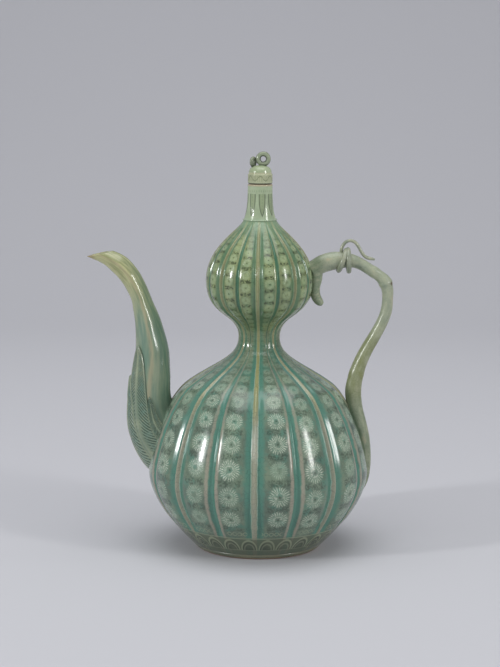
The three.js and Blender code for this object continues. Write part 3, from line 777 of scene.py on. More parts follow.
tie_points = [tie_turn(-2.8, 20.0), tie_turn(2.6, -3.0)]
tie_parts = [cord(f"tie_turn_{number}", points, TIE_CORD * 0.97, 36, True)
             for number, points in enumerate(tie_points)]
tie_route = through(np.asarray(TIE_LOOP, dtype=float) + np.array(ARCH), np.linspace(0.0, 1.0, 260))
tie_route = np.stack([tie_route[:, 0], np.zeros(260), tie_route[:, 1]], axis=1)
tail = smooth(np.linspace(0.0, 1.0, 260), 0.86, 1.0)
tie_loop = cord("tie_loop_glazed", tie_route, LOOP_CORD * (1.0 - 0.35 * tail), 28)


def tone(code):
    """A linear colour from an sRGB hex code."""
    parts = [int(code[at:at + 2], 16) / 255 for at in (1, 3, 5)]
    linear = [part / 12.92 if part <= 0.04045 else ((part + 0.055) / 1.055) ** 2.4 for part in parts]
    return (*linear, 1.0)


def add(tree, kind, inputs=(), **settings):
    """One shader node with its settings by name, and its inputs by position or by name: each a
    value, a socket or a node that stands for its first output."""
    node = tree.nodes.new("ShaderNode" + kind)
    for name, value in settings.items():
        setattr(node, name, value)
    for key, value in (inputs.items() if isinstance(inputs, dict) else enumerate(inputs)):
        if isinstance(value, bpy.types.Node):
            value = value.outputs[0]
        if isinstance(value, bpy.types.NodeSocket):
            tree.links.new(value, node.inputs[key])
        elif value is not None:
            node.inputs[key].default_value = value
    return node


# What the glaze's patterns measure, in millimetres
CLOUD = 26.32
PATCH = 11.765
WAVES = 10.526
MOTTLE = 8.3333
WANDER = 7.692
STREAK = 6.6667
WEAR = 4.762
CRACKLE = 4.762
DRIFT = 3.846
FLECK = 3.0303
SLIP_WEAR = 1.923
PITS = 1.1111
SPECKS = 0.71429


def scale_of(millimetres):
    """The scale at which a pattern in metres measures this many millimetres: 1000 over it."""
    return 1000.0 / millimetres


def start_glaze(name):
    """An empty material: itself, its tree, the object's own coordinates and a slow cloudiness."""
    material = bpy.data.materials.new(name)
    material.use_nodes = True
    tree = material.node_tree
    tree.nodes.clear()
    place = add(tree, "TexCoord").outputs["Object"]
    cloud = add(tree, "TexNoise", {"Vector": place, "Scale": scale_of(CLOUD), "Detail": 4.0,
                                   "Roughness": 0.6})
    return material, tree, place, cloud


def finish_glaze(tree, colour, place, height=None, roughness=0.2, coat=0.25, grain=0.00012, depth=0.0):
    """The glaze's shader: fine pits and the soft unevenness of a fired glaze as bump, and inlay
    or carving as a second bump where a height is given in metres."""
    waves = add(tree, "TexNoise", {"Vector": place, "Scale": scale_of(WAVES), "Detail": 2.0,
                                   "Roughness": 0.5})
    pits = add(tree, "TexNoise", {"Vector": place, "Scale": scale_of(PITS), "Detail": 3.0,
                                  "Roughness": 0.65})
    pits_soft = add(tree, "Math", [pits, 0.22], operation="MULTIPLY")
    uneven = add(tree, "Math", [waves, pits_soft], operation="ADD")
    bump = add(tree, "Bump", {"Strength": 0.55, "Distance": grain, "Height": uneven})
    if height is not None:
        bump = add(tree, "Bump", {"Strength": 0.8, "Distance": depth, "Height": height, "Normal": bump})
    rough = add(tree, "MapRange", [pits, 0.35, 0.65, roughness * 0.8, roughness * 1.35])
    shader = add(tree, "BsdfPrincipled", {"Base Color": colour, "Roughness": rough, "IOR": 1.5,
                                          "Coat Weight": coat, "Coat Roughness": 0.08, "Normal": bump})
    add(tree, "OutputMaterial", [shader])


def step(tree, value, low, high):
    """The smooth step from zero at low to one at high; from one to zero where high is less."""
    if low < high:
        return add(tree, "MapRange", [value, low, high], interpolation_type="SMOOTHSTEP")
    return add(tree, "MapRange", [value, high, low, 1.0, 0.0], interpolation_type="SMOOTHSTEP")


def painted(tree, colour, *coats):
    """A colour with coats laid over it in turn, each a mask and its own colour."""
    for mask, coat in coats:
        colour = add(tree, "MixRGB", [mask, colour, coat])
    return colour


def product(tree, *values):
    """All the values multiplied together."""
    result = values[0]
    for value in values[1:]:
        result = add(tree, "Math", [result, value], operation="MULTIPLY")
    return result


def most(tree, *values):
    """The largest of the values."""
    result = values[0]
    for value in values[1:]:
        result = add(tree, "Math", [result, value], operation="MAXIMUM")
    return result


def near(tree, value, middle, inner, outer):
    """One within inner of the middle, falling to zero at outer."""
    gap = add(tree, "Math", [add(tree, "Math", [value, middle], operation="SUBTRACT")],
              operation="ABSOLUTE")
    return step(tree, gap, outer, inner)


def distance(tree, across, along):
    """The length of the pair."""
    return add(tree, "VectorMath", [add(tree, "CombineXYZ", [across, along])],
               operation="LENGTH").outputs["Value"]


def flowers(tree, across, along, place):
    """Chrysanthemums in one column, each drawn a little differently: 24 thin petals between half
    and all of the radius, round a ring. Masks for the petals' white slip, for the pale disc that
    the slip clouds into the glaze, and for the dark marks between two flowers."""
    shift = add(tree, "TexNoise", {"Vector": place, "Scale": scale_of(DRIFT), "Detail": 2.0})
    shift = add(tree, "VectorMath", [shift.outputs["Color"], (0.5, 0.5, 0.5)], operation="SUBTRACT")
    shift = add(tree, "SeparateXYZ", [add(tree, "VectorMath", {0: shift, "Scale": 0.35},
                                          operation="SCALE")])
    across = add(tree, "Math", [across, shift.outputs[0]], operation="ADD")
    along = add(tree, "Math", [along, shift.outputs[1]], operation="ADD")
    index = add(tree, "Math", [add(tree, "Math", [along, FLOWER_PITCH], operation="DIVIDE")],
                operation="ROUND")
    chance = add(tree, "TexWhiteNoise", {"W": index}, noise_dimensions="1D")
    middle = product(tree, index, FLOWER_PITCH)
    along = add(tree, "Math", [along, middle], operation="SUBTRACT")
    size = add(tree, "MapRange", [chance, 0.0, 1.0, 0.98, 1.16])
    away = add(tree, "Math", [distance(tree, across, along), size], operation="DIVIDE")
    angle = add(tree, "Math", [along, across], operation="ARCTAN2")
    turn = product(tree, add(tree, "Math", [angle, product(tree, chance, 9.0)], operation="ADD"), 24.0)
    petal = add(tree, "MapRange", [add(tree, "Math", [turn], operation="COSINE"), -1.0, 1.0])
    worn = add(tree, "TexNoise", {"Vector": place, "Scale": scale_of(SLIP_WEAR), "Detail": 3.0,
                                  "Roughness": 0.6})
    ends = add(tree, "Math", [away, add(tree, "MapRange", [worn, 0.3, 0.7, -0.16, 0.16])],
               operation="ADD")
    rays = product(tree, step(tree, petal, 0.42, 0.85), step(tree, ends, 0.5, 0.64),
                   step(tree, ends, 1.08, 0.86), step(tree, worn, 0.3, 0.5))
    ring = product(tree, near(tree, ends, 0.42, 0.04, 0.13), step(tree, worn, 0.35, 0.55), 0.75)
    disc = product(tree, step(tree, away, 1.2, 0.6), add(tree, "MapRange", [away, 0.1, 0.5, 0.4, 1.0]))
    eye = product(tree, step(tree, away, 0.16, 0.06), step(tree, chance, 0.4, 0.5))
    side = add(tree, "Math", [across], operation="ABSOLUTE")
    half = add(tree, "Math", [along], operation="ABSOLUTE")
    between = product(tree, near(tree, half, FLOWER_PITCH / 2, 0.22, 0.55), step(tree, side, 1.25, 0.7))
    smudge = product(tree, between, step(tree, worn, 0.46, 0.6))
    corner = distance(tree, add(tree, "Math", [side, 0.95], operation="SUBTRACT"),
                      add(tree, "Math", [half, FLOWER_PITCH / 2 - 0.1], operation="SUBTRACT"))
    marks = product(tree, step(tree, corner, 0.34, 0.16), step(tree, worn, 0.4, 0.55))
    strength = add(tree, "MapRange", [chance, 0.0, 1.0, 0.45, 1.0])
    return product(tree, most(tree, rays, ring), strength), disc, most(tree, eye, smudge, marks)


def petal_band(tree, turns, height, count, low, high, outline):
    """A row of upright lotus petals between two heights: |u|^2 + h^2 is one on each petal's edge.
    Masks for its two pale outlines, one inside the other, and for the dark fill."""
    part = add(tree, "Math", [product(tree, turns, float(count))], operation="FRACT")
    part = add(tree, "MapRange", [part, 0.0, 1.0, -1.08, 1.08])
    up = add(tree, "MapRange", [height, low, high])
    away = distance(tree, part, up)
    edge = near(tree, away, 0.93, outline * 0.5, outline)
    inner = near(tree, away, 0.6, outline * 0.4, outline * 0.9)
    inside = product(tree, step(tree, away, 0.92, 0.82), step(tree, height, low - 0.2, low + 0.3))
    return most(tree, edge, product(tree, inner, 0.6)), inside


def gourd_glaze(name):
    """The inlaid wall of both bulbs: teal where the glaze pools in valleys and grooves, tan where
    it runs thin on the ribs and the grooves' shoulders, with a column of white flowers down each
    lobe and a petal band at the foot. The glaze goes from blue green to yellow green at the waist."""
    material, tree, place, cloud = start_glaze(name)
    panel = add(tree, "SeparateXYZ", [add(tree, "UVMap", uv_map="panel")])
    rib = add(tree, "SeparateXYZ", [add(tree, "UVMap", uv_map="rib")])
    turn = add(tree, "SeparateXYZ", [add(tree, "UVMap", uv_map="turn")])
    height = turn.outputs["Y"]
    green = step(tree, height, TURN_LOW, TURN_HIGH)
    tones = {name: add(tree, "MixRGB", [green, tone(low), tone(high)])
             for name, (low, high) in GOURD_TONES.items()}
    white, disc, dark = flowers(tree, panel.outputs["X"], panel.outputs["Y"], place)
    loose = add(tree, "TexNoise", {"Vector": place, "Scale": scale_of(WANDER), "Detail": 2.0})
    loose = add(tree, "MapRange", [loose, 0.3, 0.7, -0.1, 0.1])
    beside = add(tree, "Math", [rib.outputs["X"], loose], operation="ADD")
    groove = add(tree, "Math", [rib.outputs["Y"], loose], operation="ADD")
    patch = add(tree, "TexNoise", {"Vector": place, "Scale": scale_of(PATCH), "Detail": 5.0,
                                   "Roughness": 0.7})
    colour = add(tree, "MixRGB", [step(tree, cloud, 0.36, 0.64), tones["lobe_dark"], tones["lobe"]])
    colour = painted(tree, colour, (product(tree, step(tree, patch, 0.48, 0.66), 0.6), tones["valley"]))
    fleck = add(tree, "TexNoise", {"Vector": place, "Scale": scale_of(FLECK), "Detail": 4.0,
                                   "Roughness": 0.7})
    flecked = product(tree, step(tree, fleck, 0.55, 0.7), step(tree, patch, 0.6, 0.4), 0.5)
    colour = painted(tree, colour, (flecked, tones["dark"]))
    # the glaze's own pooling in the valleys beside the ribs
    pooled_glaze_and_painted_shade = product(tree, step(tree, beside, 3.2, 1.9),
                     add(tree, "MapRange", [patch, 0.3, 0.7, 1.0, 0.6]))
    colour = painted(tree, colour, (pooled_glaze_and_painted_shade, tones["valley"]))
    shoulder = product(tree, near(tree, groove, 0.98, 0.14, 0.5),
                       add(tree, "MapRange", [height, 90.0, 150.0, 0.65, 0.3]))
    colour = painted(tree, colour, (shoulder, tones["tan"]))
    crest = step(tree, beside, 0.86, 0.62)
    cut = step(tree, groove, 0.8, 0.45)
    plain = add(tree, "Math", [1.0, most(tree, crest, cut)], operation="SUBTRACT")
    waist = near(tree, height, 188.0, 12.0, 44.0)
    faint = add(tree, "MapRange", [waist, 0.0, 1.0, 1.0, 0.25])
    field = product(tree, plain, step(tree, height, 32.5, 34.5), faint,
                    step(tree, height, 293.0, 270.0))
    white = product(tree, white, field)
    clouded = product(tree, disc, field, step(tree, beside, 1.6, 2.4))
    disc_share = add(tree, "MapRange", [green, 0.0, 1.0, 0.36, 0.5])
    dark_share = add(tree, "MapRange", [green, 0.0, 1.0, 0.6, 0.85])
    white_share = add(tree, "MapRange", [green, 0.0, 1.0, 0.55, 0.34])
    colour = painted(tree, colour, (product(tree, clouded, disc_share), tones["disc"]),
                     (product(tree, dark, field, dark_share), tones["dark"]),
                     (product(tree, white, white_share), tones["white"]))
    front = near(tree, turn.outputs["X"], FRONT_RIB, 0.02, 0.05)
    yellow = product(tree, near(tree, height, TURN_LOW, 18.0, 46.0),
                     add(tree, "MapRange", [front, 0.0, 1.0, 0.35, 0.75]))
    rib_tone = add(tree, "MixRGB", [yellow, tones["rib"], tone("#9c985c")])
    rib_share = add(tree, "MapRange", [patch, 0.3, 0.7, 1.0, 0.7])
    cut_share = add(tree, "MapRange", [patch, 0.3, 0.7, 1.0, 0.75])
    waist_share = add(tree, "MapRange", [waist, 0.0, 1.0, 1.0, 0.35])
    colour = painted(tree, colour, (product(tree, crest, rib_share), rib_tone),
                     (product(tree, cut, cut_share, waist_share), tones["groove"]))
    # painted highlight: thin pale lines along both edges of each rib
    line = product(tree, near(tree, beside, 0.84, 0.05, 0.15), step(tree, height, 33.0, 36.0), 0.3)
    colour = painted(tree, colour, (line, tones["white"]),
                     # painted highlight: a pale band that brightens up to the collar
                     (product(tree, step(tree, height, COLLAR_HEIGHT - 13.0, COLLAR_HEIGHT), 0.55),
                      tone("#94ac8c")))
    crackle = add(tree, "TexVoronoi", {"Vector": place, "Scale": scale_of(CRACKLE)},
                  feature="DISTANCE_TO_EDGE")
    fine = product(tree, step(tree, crackle, 0.05, 0.01), step(tree, patch, 0.62, 0.45), 0.3)
    colour = painted(tree, colour, (fine, tones["dark"]))
    turns = turn.outputs["X"]
    edge, inside = petal_band(tree, turns, height, BAND_PETALS, BAND_LOW, BAND_HIGH, 0.11)
    ground = add(tree, "MixRGB", [product(tree, step(tree, height, 27.0, 22.0), 0.85), colour,
                                  tone("#5c6550")])
    ground = painted(tree, ground, (product(tree, inside, step(tree, patch, 0.3, 0.6), 0.7),
                                    tone("#3c473a")))
    lines = most(tree, near(tree, height, BAND_LINE, 0.2, 0.6),
                 product(tree, near(tree, height, BAND_LOW - 0.1, 0.2, 0.6), 0.5))
    lines = most(tree, lines, product(tree, edge, step(tree, height, BAND_HIGH + 1.2, BAND_HIGH + 0.4),
                                      step(tree, height, BAND_LOW - 0.2, BAND_LOW + 0.2)))
    loops = add(tree, "Math", [product(tree, turns, float(LINKS))], operation="FRACT")
    loops = add(tree, "MapRange", [loops, 0.0, 1.0, -2.25, 2.25])
    loop = distance(tree, loops, add(tree, "Math", [height, LINK_HEIGHT], operation="SUBTRACT"))
    within = product(tree, step(tree, groove, 1.6, 2.2), step(tree, beside, 1.8, 2.4),
                     step(tree, patch, 0.3, 0.5))
    lines = most(tree, lines, product(tree, near(tree, loop, 1.7, 0.2, 0.6), within, 0.9))
    colour = add(tree, "MixRGB", [product(tree, lines, 0.5), ground, tone("#a5ad8e")])
    finish_glaze(tree, colour, place, most(tree, white, lines), roughness=0.17, depth=0.0001)
    return material


def plain_glaze(name, dark, light, grain=0.00012, roughness=0.2):
    """Celadon glaze with no inlay: two tones by slow clouds, and fine long streaks."""
    material, tree, place, cloud = start_glaze(name)
    long = add(tree, "Mapping", {"Vector": place, "Scale": (1.0, 1.0, 0.35)})
    streak = add(tree, "TexNoise", {"Vector": long, "Scale": scale_of(STREAK), "Detail": 5.0,
                                    "Roughness": 0.65})
    mixed = add(tree, "Math", [product(tree, cloud, 0.6), product(tree, streak, 0.4)], operation="ADD")
    colour = add(tree, "MixRGB", [step(tree, mixed, 0.36, 0.62), tone(dark), tone(light)])
    finish_glaze(tree, colour, place, roughness=roughness, grain=grain)
    return material


# The neck's hanging petals and its frieze, and the lid's scroll
NECK_PETALS = 8
PETAL_TOP = COLLAR_HEIGHT + 24.0
PETAL_TIP = COLLAR_HEIGHT + 4.2
FRIEZE_HEIGHT = COLLAR_HEIGHT + 26.6
FRIEZE_MARKS = 34
SCROLL_HEIGHT = LID_SEAT + 5.0
SCROLL_WAVES = 7


def neck_glaze(name):
    """The neck: eight narrow hanging petals, |u| + h^3 one on their edge, with a double dark outline
    and a dotted middle, and a thin pale rim."""
    material, tree, place, cloud = start_glaze(name)
    turn = add(tree, "SeparateXYZ", [add(tree, "UVMap", uv_map="turn")])
    height = turn.outputs["Y"]
    part = product(tree, turn.outputs["X"], float(NECK_PETALS))
    part = add(tree, "Math", [add(tree, "Math", [part, 0.3], operation="ADD")], operation="FRACT")
    side = add(tree, "Math", [add(tree, "MapRange", [part, 0.0, 1.0, -1.55, 1.55])],
               operation="ABSOLUTE")
    up = add(tree, "MapRange", [height, PETAL_TOP, PETAL_TIP, 0.0, 1.0])
    away = add(tree, "Math", [side, add(tree, "Math", [up, 3.0], operation="POWER")], operation="ADD")
    hung = product(tree, step(tree, height, PETAL_TOP + 0.4, PETAL_TOP - 0.2),
                   step(tree, height, PETAL_TIP - 0.8, PETAL_TIP + 0.2))
    colour = add(tree, "MixRGB", [step(tree, cloud, 0.35, 0.65), tone("#91a283"), tone("#a9b898")])
    inside = product(tree, step(tree, away, 0.9, 0.75), hung)
    colour = painted(tree, colour, (product(tree, inside, 0.5), tone("#8c9c72")))
    edge = product(tree, near(tree, away, 0.92, 0.09, 0.24), hung)
    dots = add(tree, "Math", [product(tree, height, 2 * math.pi / 1.3)], operation="COSINE")
    vein = product(tree, near(tree, side, 0.0, 0.1, 0.3), step(tree, dots, -0.6, 0.5),
                   step(tree, away, 0.7, 0.6), hung)
    inner = product(tree, near(tree, away, 0.55, 0.04, 0.16), hung)
    dark = most(tree, edge, product(tree, vein, 0.6), product(tree, inner, 0.4))
    frieze = add(tree, "Math", [product(tree, turn.outputs["X"], 2 * math.pi * FRIEZE_MARKS)],
                 operation="COSINE")
    frieze = product(tree, step(tree, frieze, 0.0, 0.7), near(tree, height, FRIEZE_HEIGHT, 0.5, 1.3),
                     0.35)
    colour = painted(tree, colour, (product(tree, most(tree, dark, frieze), 0.72), tone("#47533f")))
    # painted highlight: a pale band round the foot of the neck at the collar bead
    pale = step(tree, height, COLLAR_HEIGHT + 4.0, COLLAR_HEIGHT + 0.4)
    colour = painted(tree, colour, (product(tree, pale, 0.5), tone("#9db297")))
    rim = step(tree, height, MOUTH_HEIGHT - 2.1, MOUTH_HEIGHT - 1.1)
    colour = painted(tree, colour, (product(tree, rim, 0.7), tone("#b5a288")))
    finish_glaze(tree, colour, place, dark, roughness=0.18, depth=0.00012)
    return material


def lid_glaze(name):
    """The lid: a carved scroll running round the band under a pale line, a plain dome, and a dark
    seam at its edge."""
    material, tree, place, cloud = start_glaze(name)
    turn = add(tree, "SeparateXYZ", [add(tree, "UVMap", uv_map="turn")])
    height = turn.outputs["Y"]
    wave = add(tree, "Math", [product(tree, turn.outputs["X"], 2 * math.pi * SCROLL_WAVES)],
               operation="SINE")
    middle = add(tree, "Math", [product(tree, wave, 2.1), SCROLL_HEIGHT], operation="ADD")
    scroll = near(tree, add(tree, "Math", [height, middle], operation="SUBTRACT"), 0.0, 0.3, 0.8)
    curl_wave = add(tree, "Math", [product(tree, turn.outputs["X"], 2 * math.pi * 3 * SCROLL_WAVES)],
                    operation="SINE")
    curls = product(tree, near(tree, curl_wave, 0.2, 0.15, 0.6),
                    near(tree, height, SCROLL_HEIGHT, 2.2, 3.4))
    banded = product(tree, step(tree, height, LID_BAND + 1.0, LID_BAND + 0.4),
                     step(tree, height, LID_SEAT + 1.1, LID_SEAT + 1.7))
    carved = product(tree, most(tree, scroll, product(tree, curls, 0.7)), banded)
    colour = add(tree, "MixRGB", [step(tree, cloud, 0.35, 0.65), tone("#98a684"), tone("#afbb9a")])
    colour = painted(tree, colour, (product(tree, banded, 0.35), tone("#b3ab8c")),
                     (product(tree, carved, 0.6), tone("#66734f")))
    pale = near(tree, height, LID_BAND + 1.1, 0.2, 0.7)
    colour = painted(tree, colour, (product(tree, pale, 0.6), tone("#c4bd9f")))
    seam = step(tree, height, LID_SEAT + 1.2, LID_SEAT + 0.5)
    colour = painted(tree, colour, (product(tree, seam, 0.9), tone("#3c2a1c")))
    raised = add(tree, "Math", [1.0, carved], operation="SUBTRACT")
    finish_glaze(tree, colour, place, raised, roughness=0.18, depth=0.0002)
    return material


def lid_ring_glaze(name):
    """The ring on the lid: pale, with painted shade round its hole, at its outer edge and where it is
    luted on.
    """
    material, tree, place, cloud = start_glaze(name)
    ring_height = dome_height(RING_OFFSET) + RING_RADIUS + RING_CORD - 1.2
    middle = ((AXIS_X + RING_OFFSET) * MM, 0.0, ring_height * MM)
    away = add(tree, "VectorMath", [place, middle], operation="DISTANCE").outputs["Value"]
    spot = add(tree, "SeparateXYZ", [place])
    colour = add(tree, "MixRGB", [step(tree, cloud, 0.35, 0.65), tone("#8b967c"), tone("#a4ad92")])
    # painted shade: darker inside the hole, round the outer edge and at the foot of the ring on the
    # dome
    pooled_glaze_and_painted_shade = most(tree, step(tree, away, 0.0046, 0.0032),
                  product(tree, step(tree, away, 0.0058, 0.0068), 0.4),
                  step(tree, spot.outputs["Z"], (LID_TOP + 1.6) * MM, (LID_TOP - 0.2) * MM))
    colour = painted(tree, colour, (product(tree, pooled_glaze_and_painted_shade, 0.8), tone("#3f4738")))
    finish_glaze(tree, colour, place, roughness=0.2)
    return material


def leaf_glaze(name):
    """The leaves: the glaze pools darker in the carved hatching and between the folds, and runs
    thin on the margin and the midrib."""
    material, tree, place, cloud = start_glaze(name)
    spot = add(tree, "SeparateXYZ", [add(tree, "UVMap", uv_map="leaf")])
    flat = add(tree, "Math", [spot.outputs["X"]], operation="ABSOLUTE")
    way = add(tree, "Math", [spot.outputs["Y"], product(tree, flat, HATCH_LEAN)], operation="ADD")
    hatch = add(tree, "Math", [product(tree, way, 2 * math.pi / HATCH_PITCH)], operation="COSINE")
    worn = add(tree, "TexNoise", {"Vector": place, "Scale": scale_of(WEAR), "Detail": 4.0,
                                  "Roughness": 0.65})
    pool = product(tree, step(tree, hatch, -0.3, 0.6), step(tree, flat, 0.08, 0.2),
                   step(tree, flat, 0.92, 0.78), step(tree, worn, 0.25, 0.5))
    colour = add(tree, "MixRGB", [step(tree, cloud, 0.35, 0.65), tone("#728571"), tone("#949f84")])
    teal = product(tree, near(tree, flat, 0.5, 0.1, 0.42), step(tree, worn, 0.65, 0.4), 0.55)
    colour = painted(tree, colour, (teal, tone("#64877b")),
                     (product(tree, pool, 0.85), tone("#354a3d")))
    thin = product(tree, most(tree, near(tree, flat, 0.87, 0.02, 0.06), step(tree, flat, 0.08, 0.02)),
                   worn)
    colour = painted(tree, colour, (product(tree, thin, 0.3), tone("#a5a68c")),
                     (product(tree, step(tree, flat, 0.91, 0.97), 0.75), tone("#46584a")))
    finish_glaze(tree, colour, place, roughness=0.22)
    return material


def long_streaks(tree, across, along, spread=9.0, rate=0.07):
    """Streaks that run along a limb: noise on a circle of the spread, moved on by the rate for
    each millimetre along."""
    turn = add(tree, "Math", [product(tree, across, 2 * math.pi)], operation="SINE")
    other = add(tree, "Math", [product(tree, across, 2 * math.pi)], operation="COSINE")
    way = add(tree, "CombineXYZ", [product(tree, turn, spread), product(tree, other, spread),
                                   product(tree, along, rate)])
    return add(tree, "TexNoise", {"Vector": way, "Scale": 0.45, "Detail": 4.0, "Roughness": 0.55})


def spout_glaze(name):
    """The spout's skin: streaks of blue green and olive down its length, a thin tan strip in front
    of each ridge and painted shade in darker green behind it, on the side that faces the gourd,
    yellow olive along the horn and brown at the lip."""
    material, tree, place, cloud = start_glaze(name)
    spot = add(tree, "SeparateXYZ", [place])
    turn = add(tree, "SeparateXYZ", [add(tree, "UVMap", uv_map="turn")])
    streak = long_streaks(tree, turn.outputs["X"], turn.outputs["Y"])
    fold = add(tree, "Math", [add(tree, "MapRange", [turn.outputs["X"], 0.0, 1.0, -180.0, 180.0])],
               operation="ABSOLUTE")
    round_way = add(tree, "Math", [180.0, fold], operation="SUBTRACT")
    round_way = add(tree, "Math", [round_way, add(tree, "MapRange", [cloud, 0.3, 0.7, -2.5, 2.5])],
                    operation="ADD")
    height = spot.outputs["Z"]
    low = add(tree, "MixRGB", [step(tree, streak, 0.34, 0.66), tone("#6c8370"), tone("#8a967d")])
    high = add(tree, "MixRGB", [step(tree, streak, 0.38, 0.62), tone("#91966a"), tone("#b4b487")])
    colour = add(tree, "MixRGB", [step(tree, height, 0.190, 0.255), low, high])
    teal = product(tree, near(tree, round_way, 122.0, 14.0, 30.0), step(tree, height, 0.25, 0.2), 0.35)
    colour = painted(tree, colour, (teal, tone("#65897b")))
    tan = product(tree, near(tree, round_way, 91.0, 3.0, 11.0), step(tree, streak, 0.3, 0.5), 0.42)
    colour = painted(tree, colour, (tan, tone("#ab9c7f")))
    # painted shade and reflection of the dark gourd: darker green on the side of the spout that faces
    # it
    back = product(tree, step(tree, round_way, 76.0, 50.0),
                   add(tree, "MapRange", [streak, 0.3, 0.7, 0.8, 0.4]),
                   add(tree, "MapRange", [height, 0.23, 0.27, 1.0, 0.3]))
    colour = painted(tree, colour, (back, tone("#577260")))
    lip = product(tree, step(tree, spot.outputs["X"], -0.128, -0.1365), step(tree, streak, 0.3, 0.6))
    colour = painted(tree, colour, (product(tree, lip, 0.7), tone("#8d6f45")))
    finish_glaze(tree, colour, place, roughness=0.16, grain=0.00007)
    return material


def vine_glaze(name):
    """The handle: grey green glaze with long streaks and tan where it runs thin, going yellow olive
    where the stalk bends in, and a small brown spot on its outer node where the clay shows."""
    material, tree, place, cloud = start_glaze(name)
    spot = add(tree, "SeparateXYZ", [place])
    turn = add(tree, "SeparateXYZ", [add(tree, "UVMap", uv_map="turn")])
    streak = long_streaks(tree, turn.outputs["X"], turn.outputs["Y"], 3.4, 0.16)
    mottle = add(tree, "TexNoise", {"Vector": place, "Scale": scale_of(MOTTLE), "Detail": 4.0,
                                    "Roughness": 0.6})
    mixed = add(tree, "Math", [product(tree, streak, 0.55), product(tree, mottle, 0.45)],
                operation="ADD")
    colour = add(tree, "MixRGB", [step(tree, mixed, 0.3, 0.7), tone("#87937f"), tone("#a8ad93")])
    thin = product(tree, step(tree, cloud, 0.5, 0.62), step(tree, mixed, 0.5, 0.65), 0.45)
    colour = painted(tree, colour, (thin, tone("#b1a083")))
    height = spot.outputs["Z"]
    low = product(tree, step(tree, height, 0.215, 0.18), step(tree, height, 0.11, 0.15))
    low_share = add(tree, "MapRange", [mixed, 0.38, 0.62, 0.95, 0.35])
    colour = painted(tree, colour, (product(tree, low, low_share), tone("#7f8456")))
    foot = product(tree, step(tree, height, 0.155, 0.12),
                   add(tree, "MapRange", [mixed, 0.38, 0.62, 0.9, 0.35]))
    colour = painted(tree, colour, (foot, tone("#76826a")))
    root = product(tree, step(tree, spot.outputs["X"], (AXIS_X + 60.0) * MM, (AXIS_X + 52.0) * MM),
                   step(tree, height, 0.21, 0.22), add(tree, "MapRange", [streak, 0.3, 0.7, 0.8, 0.2]))
    colour = painted(tree, colour, (root, tone("#667a58")))
    node_x = (AXIS_X + 119.0) * MM
    bare = add(tree, "VectorMath", [place, (node_x, -0.003, 0.2425)],
               operation="DISTANCE").outputs["Value"]
    colour = painted(tree, colour, (product(tree, step(tree, bare, 0.0022, 0.001), 0.8),
                                    tone("#5a4632")))
    finish_glaze(tree, colour, place, roughness=0.28, coat=0.08, grain=0.00028)
    return material


def clay(name):
    """Bare fired stoneware: buff with fine dark specks, and rough."""
    material, tree, place, cloud = start_glaze(name)
    specks = add(tree, "TexNoise", {"Vector": place, "Scale": scale_of(SPECKS), "Detail": 2.0})
    colour = add(tree, "MixRGB", [step(tree, cloud, 0.3, 0.7), tone("#94755a"), tone("#a98a6c")])
    colour = painted(tree, colour, (product(tree, step(tree, specks, 0.62, 0.7), 0.6), tone("#54402f")))
    finish_glaze(tree, colour, place, roughness=0.75, coat=0.0, grain=0.0003)
    return material


def foot_glaze(name):
    """The foot ring: thin glaze over its side, worn off to buff clay where it stands."""
    material, tree, place, cloud = start_glaze(name)
    spot = add(tree, "SeparateXYZ", [place])
    colour = add(tree, "MixRGB", [step(tree, cloud, 0.35, 0.65), tone("#626959"), tone("#757560")])
    ragged = add(tree, "Math", [spot.outputs["Z"], product(tree, cloud, 0.0012)], operation="SUBTRACT")
    colour = painted(tree, colour, (step(tree, ragged, 0.0008, 0.0001), tone("#9a7a5c")))
    finish_glaze(tree, colour, place, roughness=0.3)
    return material


# The lower bulb's and the upper bulb's tones
GOURD_TONES = {
    "lobe": ("#738570", "#8a9669"),
    "lobe_dark": ("#5d6f60", "#5f7150"),
    "valley": ("#4a8070", "#54785a"),
    "groove": ("#4f8373", "#42745a"),
    "tan": ("#a49b8b", "#8f9470"),
    "rib": ("#9a9884", "#92926b"),
    "disc": ("#89a992", "#98ad83"),
    "white": ("#d6dbc8", "#c0cca8"),
    "dark": ("#37443a", "#333f29"),
}
gourd_finish = gourd_glaze("celadon_inlaid")
leaf_finish = leaf_glaze("celadon_leaf")
spout_finish = spout_glaze("celadon_olive")
vine_finish = vine_glaze("celadon_grey_streaked")
ring_finish = lid_ring_glaze("celadon_ring")
tie_finish = plain_glaze("celadon_grey_tie", "#7f8877", "#a0a48c")
neck_finish = neck_glaze("celadon_neck_inlaid")
lid_finish = lid_glaze("celadon_lid_carved")
foot_finish = foot_glaze("celadon_foot")
clay_finish = clay("stoneware_bare")

DRESSED = [
    (foot_ring, foot_finish, "foot_glaze", "ewer", "foot_ring"),
    (lower_wall, gourd_finish, "teal_glaze", "ewer", "lower_gourd"),
    (upper_wall, gourd_finish, "green_glaze", "ewer", "upper_gourd"),
    (neck, neck_finish, "pale_glaze", "ewer", "neck"),
    (spout_base, spout_finish, "spout_glaze", "ewer", "spout_base"),
    (spout_horn, spout_finish, "olive_glaze", "ewer", "spout_horn"),
    (stalk, vine_finish, "grey_glaze", "ewer", "handle_stalk"),
    (spur, vine_finish, "grey_glaze", "ewer", "handle_spur"),
    (tie_parts[0], tie_finish, "grey_glaze", "ewer", "handle_tie"),
    (tie_parts[1], tie_finish, "grey_glaze", "ewer", None),
    (tie_loop, tie_finish, "grey_glaze", "ewer", "tie_loop"),
    (lid_cap, lid_finish, "pale_glaze", "lid", "lid_cap"),
    (lid_plug, clay_finish, "bare_clay", "lid", "lid_plug"),
    (lid_ring, ring_finish, "pale_glaze", "lid", "lid_loop_large"),
    (lid_small_ring, ring_finish, "pale_glaze", "lid", "lid_loop_small"),
]
DRESSED += [(piece, leaf_finish, "spout_glaze", "ewer", name) for name, piece in leaves.items()]
for piece, material, slot, body, node in DRESSED:
    piece.data.materials.append(material)
    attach(piece, body)
    if node:
        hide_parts(node)


